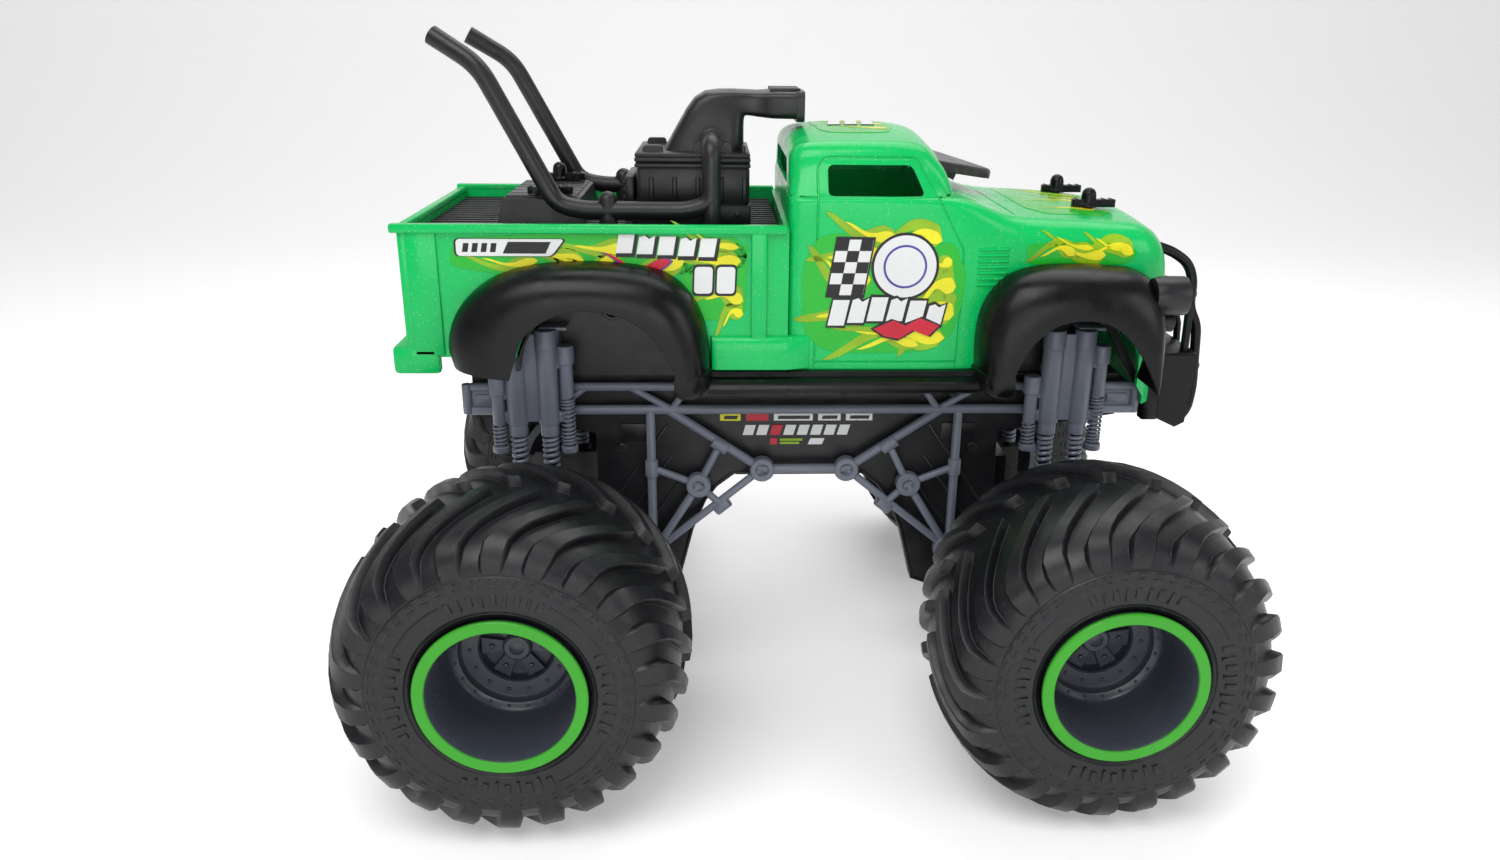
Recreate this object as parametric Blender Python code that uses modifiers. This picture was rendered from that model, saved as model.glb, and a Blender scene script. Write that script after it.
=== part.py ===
"""Radio-controlled monster truck, about 1:8 in the usual toy sense: 150 mm tyres on a lifted tube chassis.

Metres, +Z up, +X towards the front bumper, +Y towards the truck's left side. The origin is on the
ground, under the middle of the wheelbase. Every object is one piece of the real truck.
"""

import math

import bmesh
import bpy
from mathutils import Matrix, Vector

GAP = 0.0004                # clearance kept between pieces that touch

# Wheels and axles
AXLE_X = 0.1256             # half the wheelbase
AXLE_Z = 0.075              # axle height, which is the tyre's radius
TYRE_Y = 0.1258             # middle plane of a tyre
TYRE_HALF = 0.0442          # half the tyre's widest section
RING_Y = 0.170              # outer face of the bead ring
RING_OUT, RING_IN = 0.0346, 0.0294
TYRE_STEPS, RIM_STEPS = 20, 20
SHAFT_R = 0.0025
KINGPIN_Y = 0.082
ARM = 0.020                 # steering arm, kingpin to tie rod
HORN = 0.015                # servo horn, shaft to pin
GEAR_TEETH, PINION_TEETH, MODULE = 24, 8, 0.0012

# Chassis
TUB_Y = 0.043               # half width of the black centre tub
TUB_TOP = 0.170
SLOT_Y = 0.0345             # half width of the slots that the axle gearboxes rise into
FRAME_X, FRAME_Y = 0.0025, 0.049   # middle and side plane of the tube frames
TOWER_Y = 0.0563            # plane of the shock towers
TOWER_PITCH = 0.0073        # each main tube's distance from the axle, along X
SPRING_LOW, SPRING_HIGH = 0.0962, 0.1440

# Body
SIDE_Y = 0.066              # bedside
DOOR_Y = 0.0664             # doors
STEP_Y = 0.0672             # rear step
SILL_Z = 0.179
RAIL_Z = 0.245              # top of the bed rails
TAIL_X, BED_X = -0.178, -0.008
FLOOR_Z = 0.2378
WALL = 0.002
ROOF_Z = 0.2835
HOOD_Z = 0.2468
LATCH_X, LATCH_Y = 0.1375, 0.026
TAIL_LATCH_X, TAIL_LATCH_Y = -0.1195, 0.026
FENDER_IN, FENDER_OUT = 0.0668, 0.088
BOARD_LOW = 0.170           # underside of the running boards

SIDES = {"left": 1, "right": -1}
ENDS = {"front": 1, "rear": -1}

COLOURS = {                 # base colour, roughness, metallic
    "green": ((0.01, 0.48, 0.10), 0.30, 0.0),
    "ring_green": ((0.045, 0.45, 0.025), 0.40, 0.0),
    "black": ((0.012, 0.012, 0.014), 0.45, 0.0),
    "grey": ((0.100, 0.115, 0.150), 0.45, 0.0),
    "rubber": ((0.018, 0.019, 0.021), 0.65, 0.0),
    "steel": ((0.45, 0.46, 0.48), 0.30, 1.0),
    "white": ((0.70, 0.70, 0.68), 0.45, 0.0),
    "board": ((0.02, 0.16, 0.06), 0.50, 0.0),
    "pack": ((0.02, 0.05, 0.22), 0.40, 0.0),
}


def clear_scene():
    for obj in list(bpy.data.objects):
        bpy.data.objects.remove(obj, do_unlink=True)


def new_collection(name):
    made = bpy.data.collections.new(name)
    bpy.context.scene.collection.children.link(made)
    return made


def material(name):
    if name in bpy.data.materials:
        return bpy.data.materials[name]
    colour, roughness, metallic = COLOURS[name]
    made = bpy.data.materials.new(name)
    made.use_nodes = True
    shader = made.node_tree.nodes["Principled BSDF"]
    shader.inputs["Base Color"].default_value = (*colour, 1.0)
    shader.inputs["Roughness"].default_value = roughness
    shader.inputs["Metallic"].default_value = metallic
    made.diffuse_color = (*colour, 1.0)
    return made


def link(name, mesh, colour=None, matrix=None):
    obj = bpy.data.objects.new(name, mesh)
    truck.objects.link(obj)
    if matrix is not None:
        obj.matrix_world = matrix
    if colour:
        mesh.materials.clear()
        mesh.materials.append(material(colour))
    return obj


def baked(obj, name=None, colour=None):
    """The object with its modifiers applied, as a plain mesh object in its place."""
    bpy.context.view_layer.update()
    evaluated = obj.evaluated_get(bpy.context.evaluated_depsgraph_get())
    mesh = bpy.data.meshes.new_from_object(evaluated)
    work = bmesh.new()
    work.from_mesh(mesh)
    bmesh.ops.remove_doubles(work, verts=work.verts, dist=1e-6)
    work.to_mesh(mesh)
    work.free()
    matrix, kept = obj.matrix_world.copy(), name or obj.name
    bpy.data.objects.remove(obj, do_unlink=True)
    return link(kept, mesh, colour, matrix)


def box(low, high, name="piece"):
    low, high = Vector(low), Vector(high)
    work = bmesh.new()
    bmesh.ops.create_cube(work, size=1.0)
    bmesh.ops.scale(work, vec=high - low, verts=work.verts)
    mesh = bpy.data.meshes.new(name)
    work.to_mesh(mesh)
    work.free()
    obj = link(name, mesh)
    obj.location = (low + high) / 2
    return obj


def rod(start, end, radius, name="piece", sides=12, twist=0.0):
    """A cylinder from one point to another, with its flats turned about its own axis by twist degrees."""
    start, end = Vector(start), Vector(end)
    work = bmesh.new()
    bmesh.ops.create_cone(work, cap_ends=True, segments=sides, radius1=radius, radius2=radius,
                          depth=(end - start).length)
    bmesh.ops.rotate(work, verts=work.verts, matrix=Matrix.Rotation(math.radians(twist), 3, "Z"))
    mesh = bpy.data.meshes.new(name)
    work.to_mesh(mesh)
    work.free()
    obj = link(name, mesh)
    obj.rotation_mode = "QUATERNION"
    obj.rotation_quaternion = (end - start).to_track_quat("Z", "Y")
    obj.location = (start + end) / 2
    return obj


def ball(centre, radius, name="piece", sides=12):
    work = bmesh.new()
    bmesh.ops.create_uvsphere(work, u_segments=sides, v_segments=sides // 2, radius=radius)
    mesh = bpy.data.meshes.new(name)
    work.to_mesh(mesh)
    work.free()
    obj = link(name, mesh)
    obj.location = centre
    return obj


def tube(points, radius, name="piece", resolution=2):
    """A round bar along a path, as a curve with a bevel and filled caps, turned into a mesh."""
    curve = bpy.data.curves.new(name, "CURVE")
    curve.dimensions = "3D"
    spline = curve.splines.new("POLY")
    spline.points.add(len(points) - 1)
    for point, place in zip(spline.points, points):
        point.co = (*place, 1.0)
    curve.bevel_depth = radius
    curve.bevel_resolution = resolution
    curve.use_fill_caps = True
    return baked(link(name, curve))


def plate(outline, low, high, name="piece", axis="Y"):
    """A flat outline with a thickness: (x, z) points spanning Y, or (y, z) points spanning X."""
    curve = bpy.data.curves.new(name, "CURVE")
    curve.dimensions = "2D"
    curve.fill_mode = "BOTH"
    curve.extrude = (high - low) / 2
    spline = curve.splines.new("POLY")
    spline.points.add(len(outline) - 1)
    for point, (across, up) in zip(spline.points, outline):
        point.co = (across, up, 0.0, 1.0)
    spline.use_cyclic_u = True
    obj = link(name, curve)
    turn = {"Y": ((1, 0, 0), (0, 0, 1), (0, -1, 0)), "X": ((0, 1, 0), (0, 0, 1), (1, 0, 0))}[axis]
    matrix = Matrix(turn).transposed().to_4x4()
    matrix.translation = Vector((0, (low + high) / 2, 0) if axis == "Y" else ((low + high) / 2, 0, 0))
    obj.matrix_world = matrix
    return baked(obj)


def turned(profile, centre, name="piece", steps=TYRE_STEPS, flip=1):
    """A (radius, along) profile swept round the Y axis through centre; flip -1 mirrors it along Y.

    The first vertex column sits half a step off the vertical, so that a flat facet faces the ground.
    """
    mesh = bpy.data.meshes.new(name)
    stretch = 1 / math.cos(math.pi / steps)
    places = [(radius * stretch, along * flip, 0.0) for radius, along in profile]
    edges = [(i, (i + 1) % len(places)) for i in range(len(places))]
    mesh.from_pydata(places, edges, [])
    obj = link(name, mesh)
    obj.location = centre
    obj.rotation_euler = (0.0, math.pi / steps, 0.0)
    screw = obj.modifiers.new("Screw", "SCREW")
    screw.axis = "Y"
    screw.steps = screw.render_steps = steps
    screw.use_merge_vertices = True
    screw.merge_threshold = 1e-5
    made = baked(obj)
    face_out(made)
    return made


def face_out(obj):
    work = bmesh.new()
    work.from_mesh(obj.data)
    bmesh.ops.recalc_face_normals(work, faces=work.faces)
    if work.calc_volume(signed=True) < 0:
        bmesh.ops.reverse_faces(work, faces=work.faces)
    work.to_mesh(obj.data)
    work.free()


def combined(target, others, operation, solver="EXACT"):
    bpy.context.view_layer.update()
    for other in others:
        modifier = target.modifiers.new("Boolean", "BOOLEAN")
        modifier.operation = operation
        modifier.solver = solver
        modifier.object = other
    made = baked(target)
    for other in others:
        bpy.data.objects.remove(other, do_unlink=True)
    return made


def joined(name, colour, pieces, holes=(), solver="EXACT"):
    """One named part: the union of its pieces, less its holes."""
    made = combined(pieces[0], pieces[1:], "UNION", solver) if len(pieces) > 1 else baked(pieces[0])
    if holes:
        made = combined(made, list(holes), "DIFFERENCE", solver)
    made.name = name
    made.data.name = name
    made.data.materials.clear()
    made.data.materials.append(material(colour))
    for face in made.data.polygons:
        face.material_index = 0
    made.data.shade_smooth()
    made.data.set_sharp_from_angle(angle=math.radians(35))
    return made


def arc(centre, radii, start, end, count, power=2.0):
    """Points on an ellipse, or on a squarer curve where power is above 2, with angles in degrees."""
    points = []
    for i in range(count):
        angle = math.radians(start + (end - start) * i / (count - 1))
        c, s = math.cos(angle), math.sin(angle)
        points.append((centre[0] + radii[0] * math.copysign(abs(c) ** (2 / power), c),
                       centre[1] + radii[1] * math.copysign(abs(s) ** (2 / power), s)))
    return points


def loft(sections, name="piece"):
    """A closed solid through rings of (x, y, z) points, each ring with the same count."""
    mesh = bpy.data.meshes.new(name)
    work = bmesh.new()
    rings = [[work.verts.new(point) for point in ring] for ring in sections]
    count = len(rings[0])
    for first, second in zip(rings, rings[1:]):
        for i in range(count):
            j = (i + 1) % count
            work.faces.new((first[i], first[j], second[j], second[i]))
    work.faces.new(rings[0])
    work.faces.new(rings[-1])
    bmesh.ops.triangulate(work, faces=work.faces)
    work.to_mesh(mesh)
    work.free()
    obj = link(name, mesh)
    face_out(obj)
    return obj


# ---------------------------------------------------------------- wheels

def tyre_profile():
    """The hollow rubber section, from the outer bead over the tread to the inner bead and back inside."""
    half, bead, crown = TYRE_HALF, RING_OUT - 0.0008, AXLE_Z
    outer = [(bead, 0.0412), (0.0400, 0.0436), (0.0530, half), (0.0600, 0.0430), (0.0680, 0.0370), (crown, 0.0150)]
    inner = [(crown - 0.0045, 0.0120), (0.0590, 0.0370), (0.0500, 0.0385), (bead, 0.0360)]
    return (outer + [(radius, -along) for radius, along in reversed(outer)]
            + [(radius, -along) for radius, along in reversed(inner)] + inner)


def rim_profile(hub_in):
    """The grey wheel: barrel, dished outer tub, rivet flange, web and a hub that runs inboard."""
    barrel = RING_OUT - 0.0013
    return [(0.0029, -0.0005), (0.0110, 0.0010), (0.0180, 0.0060), (0.0270, 0.0080),
            (RING_IN, 0.0436), (barrel, 0.0436), (barrel, -0.0450), (RING_IN, -0.0450),
            (RING_IN - 0.0010, 0.0030), (0.0180, 0.0020), (0.0080, -0.0045), (0.0080, hub_in), (0.0029, hub_in)]


def wheel(end, side):
    x, flip = ENDS[end] * AXLE_X, SIDES[side]
    label = f"{end}_{side}"
    centre = (x, flip * TYRE_Y, AXLE_Z)
    joined(f"tyre_{label}", "rubber", [turned(tyre_profile(), centre, flip=flip)])
    hub_in = -0.0300 if end == "front" else -0.0420
    joined(f"rim_{label}", "grey", [turned(rim_profile(hub_in), centre, steps=RIM_STEPS, flip=flip)])
    ring_low, ring_high = RING_Y - 0.0012 - TYRE_Y, RING_Y + 0.0008 - TYRE_Y
    ring = [(RING_IN, ring_low + 0.0008), (RING_IN, ring_high), (RING_OUT, ring_high), (RING_OUT, ring_low + 0.0008)]
    joined(f"bead_ring_{label}", "ring_green", [turned(ring, centre, steps=RIM_STEPS, flip=flip)])


# ---------------------------------------------------------------- axles

def spring_pads(x, side):
    """The pad under a tower, and the two pins that guide its springs."""
    y = side * TOWER_Y
    low, high = sorted((y - 0.0050, y + 0.0050))
    pieces = [box((x - 0.0125, low, AXLE_Z + 0.002), (x + 0.0125, high, SPRING_LOW - GAP))]
    for step in (-1, 1):
        pin = (x + step * TOWER_PITCH, y)
        pieces.append(rod((*pin, SPRING_LOW - 0.004), (*pin, 0.1520), 0.0021, sides=6))
    return pieces


def front_axle():
    x, z = AXLE_X, AXLE_Z
    ear_low, ear_high = z - 0.0142, z + 0.0142
    pieces = [rod((x, -0.0735, z), (x, 0.0735, z), 0.0090, sides=12),
              box((x - 0.013, -0.022, z - 0.013), (x + 0.015, 0.022, z + 0.0165)),
              box((0.0790, -0.0300, 0.0830), (x, 0.0300, 0.0948))]
    holes = [rod((x - 0.035, 0, 0.0780), (x - 0.035, 0, 0.0990), 0.0032)]
    for side in SIDES.values():
        pieces += spring_pads(x, side)
        low, high = sorted((side * 0.0715, side * 0.0752))
        pieces.append(box((x - 0.0070, low, ear_low), (x + 0.0070, high, ear_high)))
        for bottom in (ear_low, ear_high - 0.0030):
            low, high = sorted((side * 0.0730, side * KINGPIN_Y))
            pieces.append(box((x - 0.0052, low, bottom), (x + 0.0052, high, bottom + 0.0030)))
            pieces.append(rod((x, side * KINGPIN_Y, bottom), (x, side * KINGPIN_Y, bottom + 0.0030), 0.0052))
        holes.append(rod((x, side * KINGPIN_Y, 0.050), (x, side * KINGPIN_Y, 0.100), 0.0026))
    joined("front_axle_housing", "black", pieces, holes)


def knuckle(label, side):
    x, y, z = AXLE_X, side * KINGPIN_Y, AXLE_Z
    pin = (x - ARM, y)
    pieces = [rod((x, y, z - 0.0108), (x, y, z + 0.0108), 0.0050, sides=10),
              rod((x, y, z - 0.0160), (x, y, z + 0.0160), 0.0021, sides=8),
              rod((x, y + side * 0.003, z), (x, y + side * 0.0125, z), 0.0060, sides=10),
              rod((x, y, z), (x, side * 0.1248, z), SHAFT_R, sides=10),
              box((x - ARM, y - 0.0022, z - 0.0005), (x, y + 0.0022, z + 0.0025)),
              rod((*pin, z - 0.0005), (*pin, z + 0.0025), 0.0030),
              rod((*pin, z - 0.0062), (*pin, z + 0.0010), 0.0012, sides=8)]
    joined(f"knuckle_{label}", "black", pieces)


def steering_gear():
    x, z = AXLE_X - ARM, AXLE_Z
    low, high = z - 0.0058, z - 0.0030
    middle = (low + high) / 2
    pieces = [box((x - 0.0017, -KINGPIN_Y, low), (x + 0.0017, KINGPIN_Y, high))]
    holes = []
    for y, outer, inner in ((-KINGPIN_Y, 0.0042, 0.0025), (0.0, 0.0046, 0.0028), (KINGPIN_Y, 0.0042, 0.0025)):
        pieces.append(rod((x, y, low), (x, y, high), outer, sides=10))
        holes.append(rod((x, y, middle - 0.01), (x, y, middle + 0.01), inner, sides=10))
    joined("tie_rod", "black", pieces, holes)
    servo_x = x - HORN
    pieces = [box((servo_x, -0.0022, z), (x, 0.0022, z + 0.0026)),
              rod((servo_x, 0, z), (servo_x, 0, z + 0.0026), 0.0040),
              rod((x, 0, z), (x, 0, z + 0.0026), 0.0028),
              rod((x, 0, z - 0.0062), (x, 0, z + 0.0010), 0.0012, sides=8),
              rod((servo_x, 0, z), (servo_x, 0, 0.0945), 0.0024, sides=10)]
    joined("servo_horn", "white", pieces)
    case = box((servo_x - 0.0085, -0.0200, 0.0952), (servo_x + 0.0200, 0.0200, 0.1180))
    joined("steering_servo", "black", [case])


def rear_axle():
    x, z = -AXLE_X, AXLE_Z
    pieces = [rod((x, -0.0735, z), (x, 0.0735, z), 0.0090, sides=12),
              box((-0.1490, -0.0300, 0.0550), (-0.0790, 0.0300, 0.0980))]
    for side in SIDES.values():
        pieces += spring_pads(x, side)
        pieces.append(rod((x, side * 0.0690, z), (x, side * 0.0790, z), 0.0070, sides=10))
    holes = [box((-0.1465, -0.0270, 0.0575), (-0.0815, 0.0270, 0.1100)),
             rod((x, -0.100, z), (x, 0.100, z), SHAFT_R + 0.0008, sides=12)]
    joined("rear_axle_housing", "black", pieces, holes)
    lid = [box((-0.1490, -0.0300, 0.0984), (-0.0790, 0.0300, 0.1004)),
           box((-0.1400, -0.0240, 0.1000), (-0.0900, 0.0240, 0.1044))]
    joined("gearbox_cover", "black", lid)


def gear_outline(teeth, turn, centre):
    """Straight-flanked teeth with backlash; turn is the first tooth's angle."""
    pitch = MODULE * teeth / 2
    points = []
    for i in range(teeth):
        middle = turn + 2 * math.pi * i / teeth
        for radius, share in ((pitch - 1.15 * MODULE, -0.31), (pitch + 0.85 * MODULE, -0.12),
                              (pitch + 0.85 * MODULE, 0.12), (pitch - 1.15 * MODULE, 0.31)):
            angle = middle + share * 2 * math.pi / teeth
            points.append((centre[0] + radius * math.cos(angle), centre[1] + radius * math.sin(angle)))
    return points


def drive_train():
    x, z = -AXLE_X, AXLE_Z
    motor_x = x + MODULE * (GEAR_TEETH + PINION_TEETH) / 2
    joined("rear_axle_shaft", "steel", [rod((x, -0.1248, z), (x, 0.1248, z), SHAFT_R, sides=16)])
    gear = [plate(gear_outline(GEAR_TEETH, 0.0, (x, z)), 0.0070, 0.0115),
            rod((x, 0.0060, z), (x, 0.0140, z), 0.0060, sides=16)]
    joined("axle_gear", "white", gear, [rod((x, 0.0, z), (x, 0.030, z), SHAFT_R + GAP, sides=16)])
    first = math.pi + math.pi / PINION_TEETH
    pinion = [plate(gear_outline(PINION_TEETH, first, (motor_x, z)), 0.0066, 0.0120)]
    joined("motor_pinion", "steel", pinion, [rod((motor_x, 0.0, z), (motor_x, 0.03, z), 0.0014, sides=8)])
    motor = [rod((motor_x, -0.0255, z), (motor_x, 0.0045, z), 0.0120, sides=16),
             rod((motor_x, 0.0, z), (motor_x, 0.0130, z), 0.0010, sides=8),
             rod((motor_x, 0.0, z), (motor_x, 0.0058, z), 0.0032, sides=12)]
    joined("drive_motor", "steel", motor)


# ---------------------------------------------------------------- chassis

def chassis_tub():
    """The black arched centre moulding, with cheeks that stand either side of each axle's gearbox."""
    half = [(0.031, 0.1184), (0.0400, 0.1115), (0.0455, 0.1040), (0.0520, 0.0883), (0.0593, 0.0595),
            (0.0690, 0.0560), (0.0985, 0.0560), (0.0985, 0.1400), (0.1560, 0.1490), (0.1560, TUB_TOP)]
    outline = half + [(-x, z) for x, z in reversed(half)]
    tub = [plate(outline, -TUB_Y, TUB_Y)]
    holes = [box((-0.0700, -0.0380, 0.1480), (0.0700, 0.0380, 0.2000)),
             box((-0.0290, -0.0230, 0.1000), (0.0290, 0.0230, 0.1450)),
             box((-0.0430, -0.0045, 0.1000), (-0.0345, 0.0080, 0.1400))]
    for end in ENDS.values():
        low, high = sorted((end * 0.0450, end * 0.1300))
        holes.append(box((low, -SLOT_Y, 0.0300), (high, SLOT_Y, 0.1360)))
    for x, y, top in ((LATCH_X, LATCH_Y, 0.2370), (TAIL_LATCH_X, TAIL_LATCH_Y, 0.2300)):
        for side in SIDES.values():
            tub.append(rod((x, side * y, TUB_TOP - 0.004), (x, side * y, top), 0.0030, sides=10))
    joined("chassis_tub", "black", tub, holes)


def battery_bay():
    joined("battery", "pack", [box((-0.0255, -0.0205, 0.1215), (0.0255, 0.0205, 0.1440))])
    door = [box((-0.0284, -0.0224, 0.1186), (0.0262, 0.0224, 0.1206)),
            rod((0.0274, -0.0224, 0.1196), (0.0274, 0.0224, 0.1196), 0.0011, sides=8),
            box((0.0250, -0.0200, 0.1188), (0.0274, 0.0200, 0.1204))]
    joined("battery_door", "black", door)
    joined("circuit_board", "board", [box((-0.0450, -0.0300, 0.1486), (0.0450, 0.0300, 0.1502)),
                                      box((-0.0200, -0.0120, 0.1500), (0.0080, 0.0120, 0.1580))])
    joined("power_switch", "black", [box((-0.0402, -0.0020, 0.1085), (-0.0372, 0.0020, 0.1120)),
                                     box((-0.0415, -0.0040, 0.1112), (-0.0359, 0.0040, 0.1140))])


def side_frame(label, side):
    """Two rails over an arched truss: rings and collars where its tubes cross."""
    def at(x, z):
        return (FRAME_X + x, side * FRAME_Y, z)

    tubes = [((-0.158, 0.1655), (0.1615, 0.1655), 0.0017), ((-0.158, 0.1540), (0.1615, 0.1540), 0.0017),
             ((-0.0206, 0.1233), (0.0206, 0.1233), 0.0018)]
    rings = []
    for end in ENDS.values():
        low_boss, high_boss = (end * 0.0206, 0.1233), (end * 0.0516, 0.1150)
        collar, low_collar = (end * 0.0411, 0.1358), (end * 0.0402, 0.1040)
        post, ring = (end * 0.0742, 0.1240), (end * 0.0735, 0.0795)
        tubes += [((end * 0.0742, 0.1540), (end * 0.0742, 0.0850), 0.0017),
                  ((end * 0.0680, 0.1530), low_boss, 0.0017), (low_boss, ring, 0.0016),
                  (high_boss, ring, 0.0015), (collar, high_boss, 0.0014), (post, high_boss, 0.0015),
                  (low_collar, high_boss, 0.0014), ((end * 0.0600, 0.1540), (end * 0.0600, 0.1655), 0.0012),
                  ((end * 0.1450, 0.1540), (end * 0.1450, 0.1655), 0.0015)]
        rings += [(low_boss, 0.0053, 0.0022), (high_boss, 0.0053, 0.0022), (ring, 0.0072, 0.0052)]
    pieces, holes = [], []
    for i, (start, finish, radius) in enumerate(tubes):
        # each tube is a shade thicker than the last and edge-on to Y, so that no two share a plane
        pieces.append(rod(at(*start), at(*finish), radius + 0.00003 * i, sides=6, twist=30.0))
    for (x, z), outer, inner in rings:
        centre = at(x, z)
        pieces.append(rod((centre[0], centre[1] - 0.0026, z), (centre[0], centre[1] + 0.0026, z), outer, sides=10))
        holes.append(rod((centre[0], centre[1] - 0.01, z), (centre[0], centre[1] + 0.01, z), inner, sides=8))
    joined(f"side_frame_{label}", "grey", pieces, holes, solver="MANIFOLD")


def shock_tower(end_name, label):
    """Two spring tubes on a slab, two slimmer dampers beside them, and the foot that sits on the tub."""
    x, side = ENDS[end_name] * AXLE_X, SIDES[label]
    y = side * TOWER_Y
    pieces = [box((x - 0.0028, y - 0.0015, 0.1100), (x + 0.0028, y + 0.0015, 0.1940)),
              box((x - 0.0090, min(side * 0.036, y), TUB_TOP + GAP), (x + 0.0090, max(side * 0.036, y), 0.1760))]
    holes = []
    for step in (-1, 1):
        tube_x = x + step * TOWER_PITCH
        pieces.append(rod((tube_x, y, 0.1500), (tube_x, y, 0.1955), 0.0048, sides=10))
        pieces.append(rod((tube_x, y, SPRING_HIGH + GAP), (tube_x, y, 0.1520), 0.0041, sides=10))
        holes.append(rod((tube_x, y, 0.1200), (tube_x, y, 0.1670), 0.0028, sides=8))
        damper_x, top = x + step * 0.0160, 0.1880 if step > 0 else 0.1730
        pieces.append(rod((damper_x, y, top - 0.0130), (damper_x, y, top), 0.0038, sides=8))
        pieces.append(rod((damper_x, y, 0.1370), (damper_x, y, top - 0.0120), 0.0024, sides=6))
        pieces.append(rod((damper_x, y, 0.1358), (damper_x, y, 0.1400), 0.0040, sides=8))
        low, high = sorted((damper_x, tube_x))
        pieces.append(box((low, y - 0.0014, top - 0.0110), (high, y + 0.0014, top - 0.0030)))
    joined(f"shock_tower_{end_name}_{label}", "grey", pieces, holes)


def spring(name, x, y):
    """A coil round its guide pin, between the axle's pad and the tower's tube."""
    turns, steps, wire, radius = 4.0, 6, 0.0006, 0.0032
    count = int(turns * steps)
    low, high = SPRING_LOW + wire, SPRING_HIGH - wire
    points = []
    for i in range(count + 1):
        angle = 2 * math.pi * i / steps
        points.append((x + radius * math.cos(angle), y + radius * math.sin(angle), low + (high - low) * i / count))
    joined(name, "steel", [tube(points, wire, resolution=0)])


# ---------------------------------------------------------------- body

def body_ring(x, half, low, shoulder, crown, top, inset):
    """One cross-section of the body: upright side, rounded shoulder, crowned top."""
    side = [(half, low), (half, shoulder - inset), (half - inset * 0.3, shoulder - inset * 0.3),
            (half - inset, shoulder), (half * 0.45, crown), (0.0, top)]
    points = [(x, y, z) for y, z in side]
    return points + [(x, -y, z) for y, z in reversed(side[:-1])]


def hood_stations(inset):
    """The hood and nose: x, half width, underside, shoulder, crown, top and shoulder rounding."""
    rows = [(0.062, 0.0650, 0.2430, 0.2475, 0.2485), (0.100, 0.0625, 0.2425, 0.2472, 0.2480),
            (0.140, 0.0600, 0.2415, 0.2462, HOOD_Z), (0.158, 0.0580, 0.2360, 0.2400, 0.2410),
            (0.168, 0.0540, 0.2250, 0.2300, 0.2310), (0.1735, 0.0480, 0.2080, 0.2130, 0.2140)]
    low = 0.1500 if inset else SILL_Z - 0.0180
    return [body_ring(x + (inset if x < 0.10 else -inset), half - inset, low, shoulder - inset,
                      crown - inset, top - inset, 0.0080)
            for x, half, shoulder, crown, top in rows]


def cab_stations(inset):
    """The roof block, from the back of the cab to the foot of the windshield."""
    rows = [(BED_X, 0.0640, 0.2570, 0.2770, 0.2810), (0.000, 0.0650, 0.2570, 0.2795, 0.2830),
            (0.048, 0.0650, 0.2570, 0.2800, ROOF_Z), (0.058, 0.0630, 0.2560, 0.2770, 0.2805),
            (0.075, 0.0600, 0.2450, 0.2560, 0.2560)]
    rings = []
    for x, half, belt, shoulder, top in rows:
        half, top, shoulder = half - inset, top - inset, shoulder - inset
        side = [(half, 0.2400 - 20 * inset), (half, belt), (half - 0.0070, shoulder - 0.0030),
                (half - 0.0110, shoulder), (half * 0.45, top - 0.0006), (0.0, top)]
        points = [(x, y, z) for y, z in side]
        rings.append(points + [(x, -y, z) for y, z in reversed(side[:-1])])
    if inset:
        rings[0] = [(x + inset, y, z) for x, y, z in rings[0]]
        rings[-1] = [(x - inset, y, z) for x, y, z in rings[-1]]
    return rings


ARCHES = {"rear": ((-0.0930, 0.1770), (0.0370, 0.0350)), "front": ((0.1245, 0.1730), (0.0350, 0.0352))}


def body_shell():
    """The green shell: bed sides, cab, hood and nose, hollow and open underneath."""
    outer = [box((TAIL_X, -SIDE_Y, SILL_Z), (0.066, SIDE_Y, RAIL_Z)),
             box((BED_X, -DOOR_Y, SILL_Z + 0.0004), (0.0720, DOOR_Y, 0.2560)),
             loft(cab_stations(0.0)), loft(hood_stations(0.0)),
             box((-0.1850, -STEP_Y, 0.1770), (-0.1640, STEP_Y, 0.1900))]
    holes = [box((TAIL_X + WALL, WALL - SIDE_Y, 0.1500), (BED_X - WALL, SIDE_Y - WALL, 0.3000)),
             box((BED_X, WALL - DOOR_Y, 0.1400), (0.0690, DOOR_Y - WALL, 0.2545)),
             loft(cab_stations(WALL)), loft(hood_stations(WALL)),
             plate([(0.0090, 0.2568), (0.0525, 0.2568), (0.0460, 0.2705), (0.0090, 0.2705)], -0.10, 0.10),
             box((-0.0150, -0.0420, 0.2580), (0.0050, 0.0420, 0.2700)),
             box((-0.1630, -0.1000, 0.1000), (-0.1250, 0.1000, 0.1860))]
    for side in SIDES.values():
        low, high = sorted((side * 0.0030, side * 0.0400))
        holes.append(box((0.0560, low, 0.2590), (0.0900, high, 0.2740)))
        holes.append(rod((LATCH_X, side * LATCH_Y, 0.2350), (LATCH_X, side * LATCH_Y, 0.2600), 0.0024, sides=10))
    for centre, radii in ARCHES.values():
        top = arc(centre, (radii[0] - 0.001, radii[1] - 0.001), 0, 180, 12)
        opening = top + [(top[-1][0], 0.120), (top[0][0], 0.120)]
        holes.append(plate(opening, -0.10, 0.10))
    holes.append(plate([(0.1450, 0.1400), (0.1450, 0.1900), (0.1640, 0.1620), (0.1640, 0.1400)], -0.10, 0.10))
    joined("body_shell", "green", outer, holes)


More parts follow.
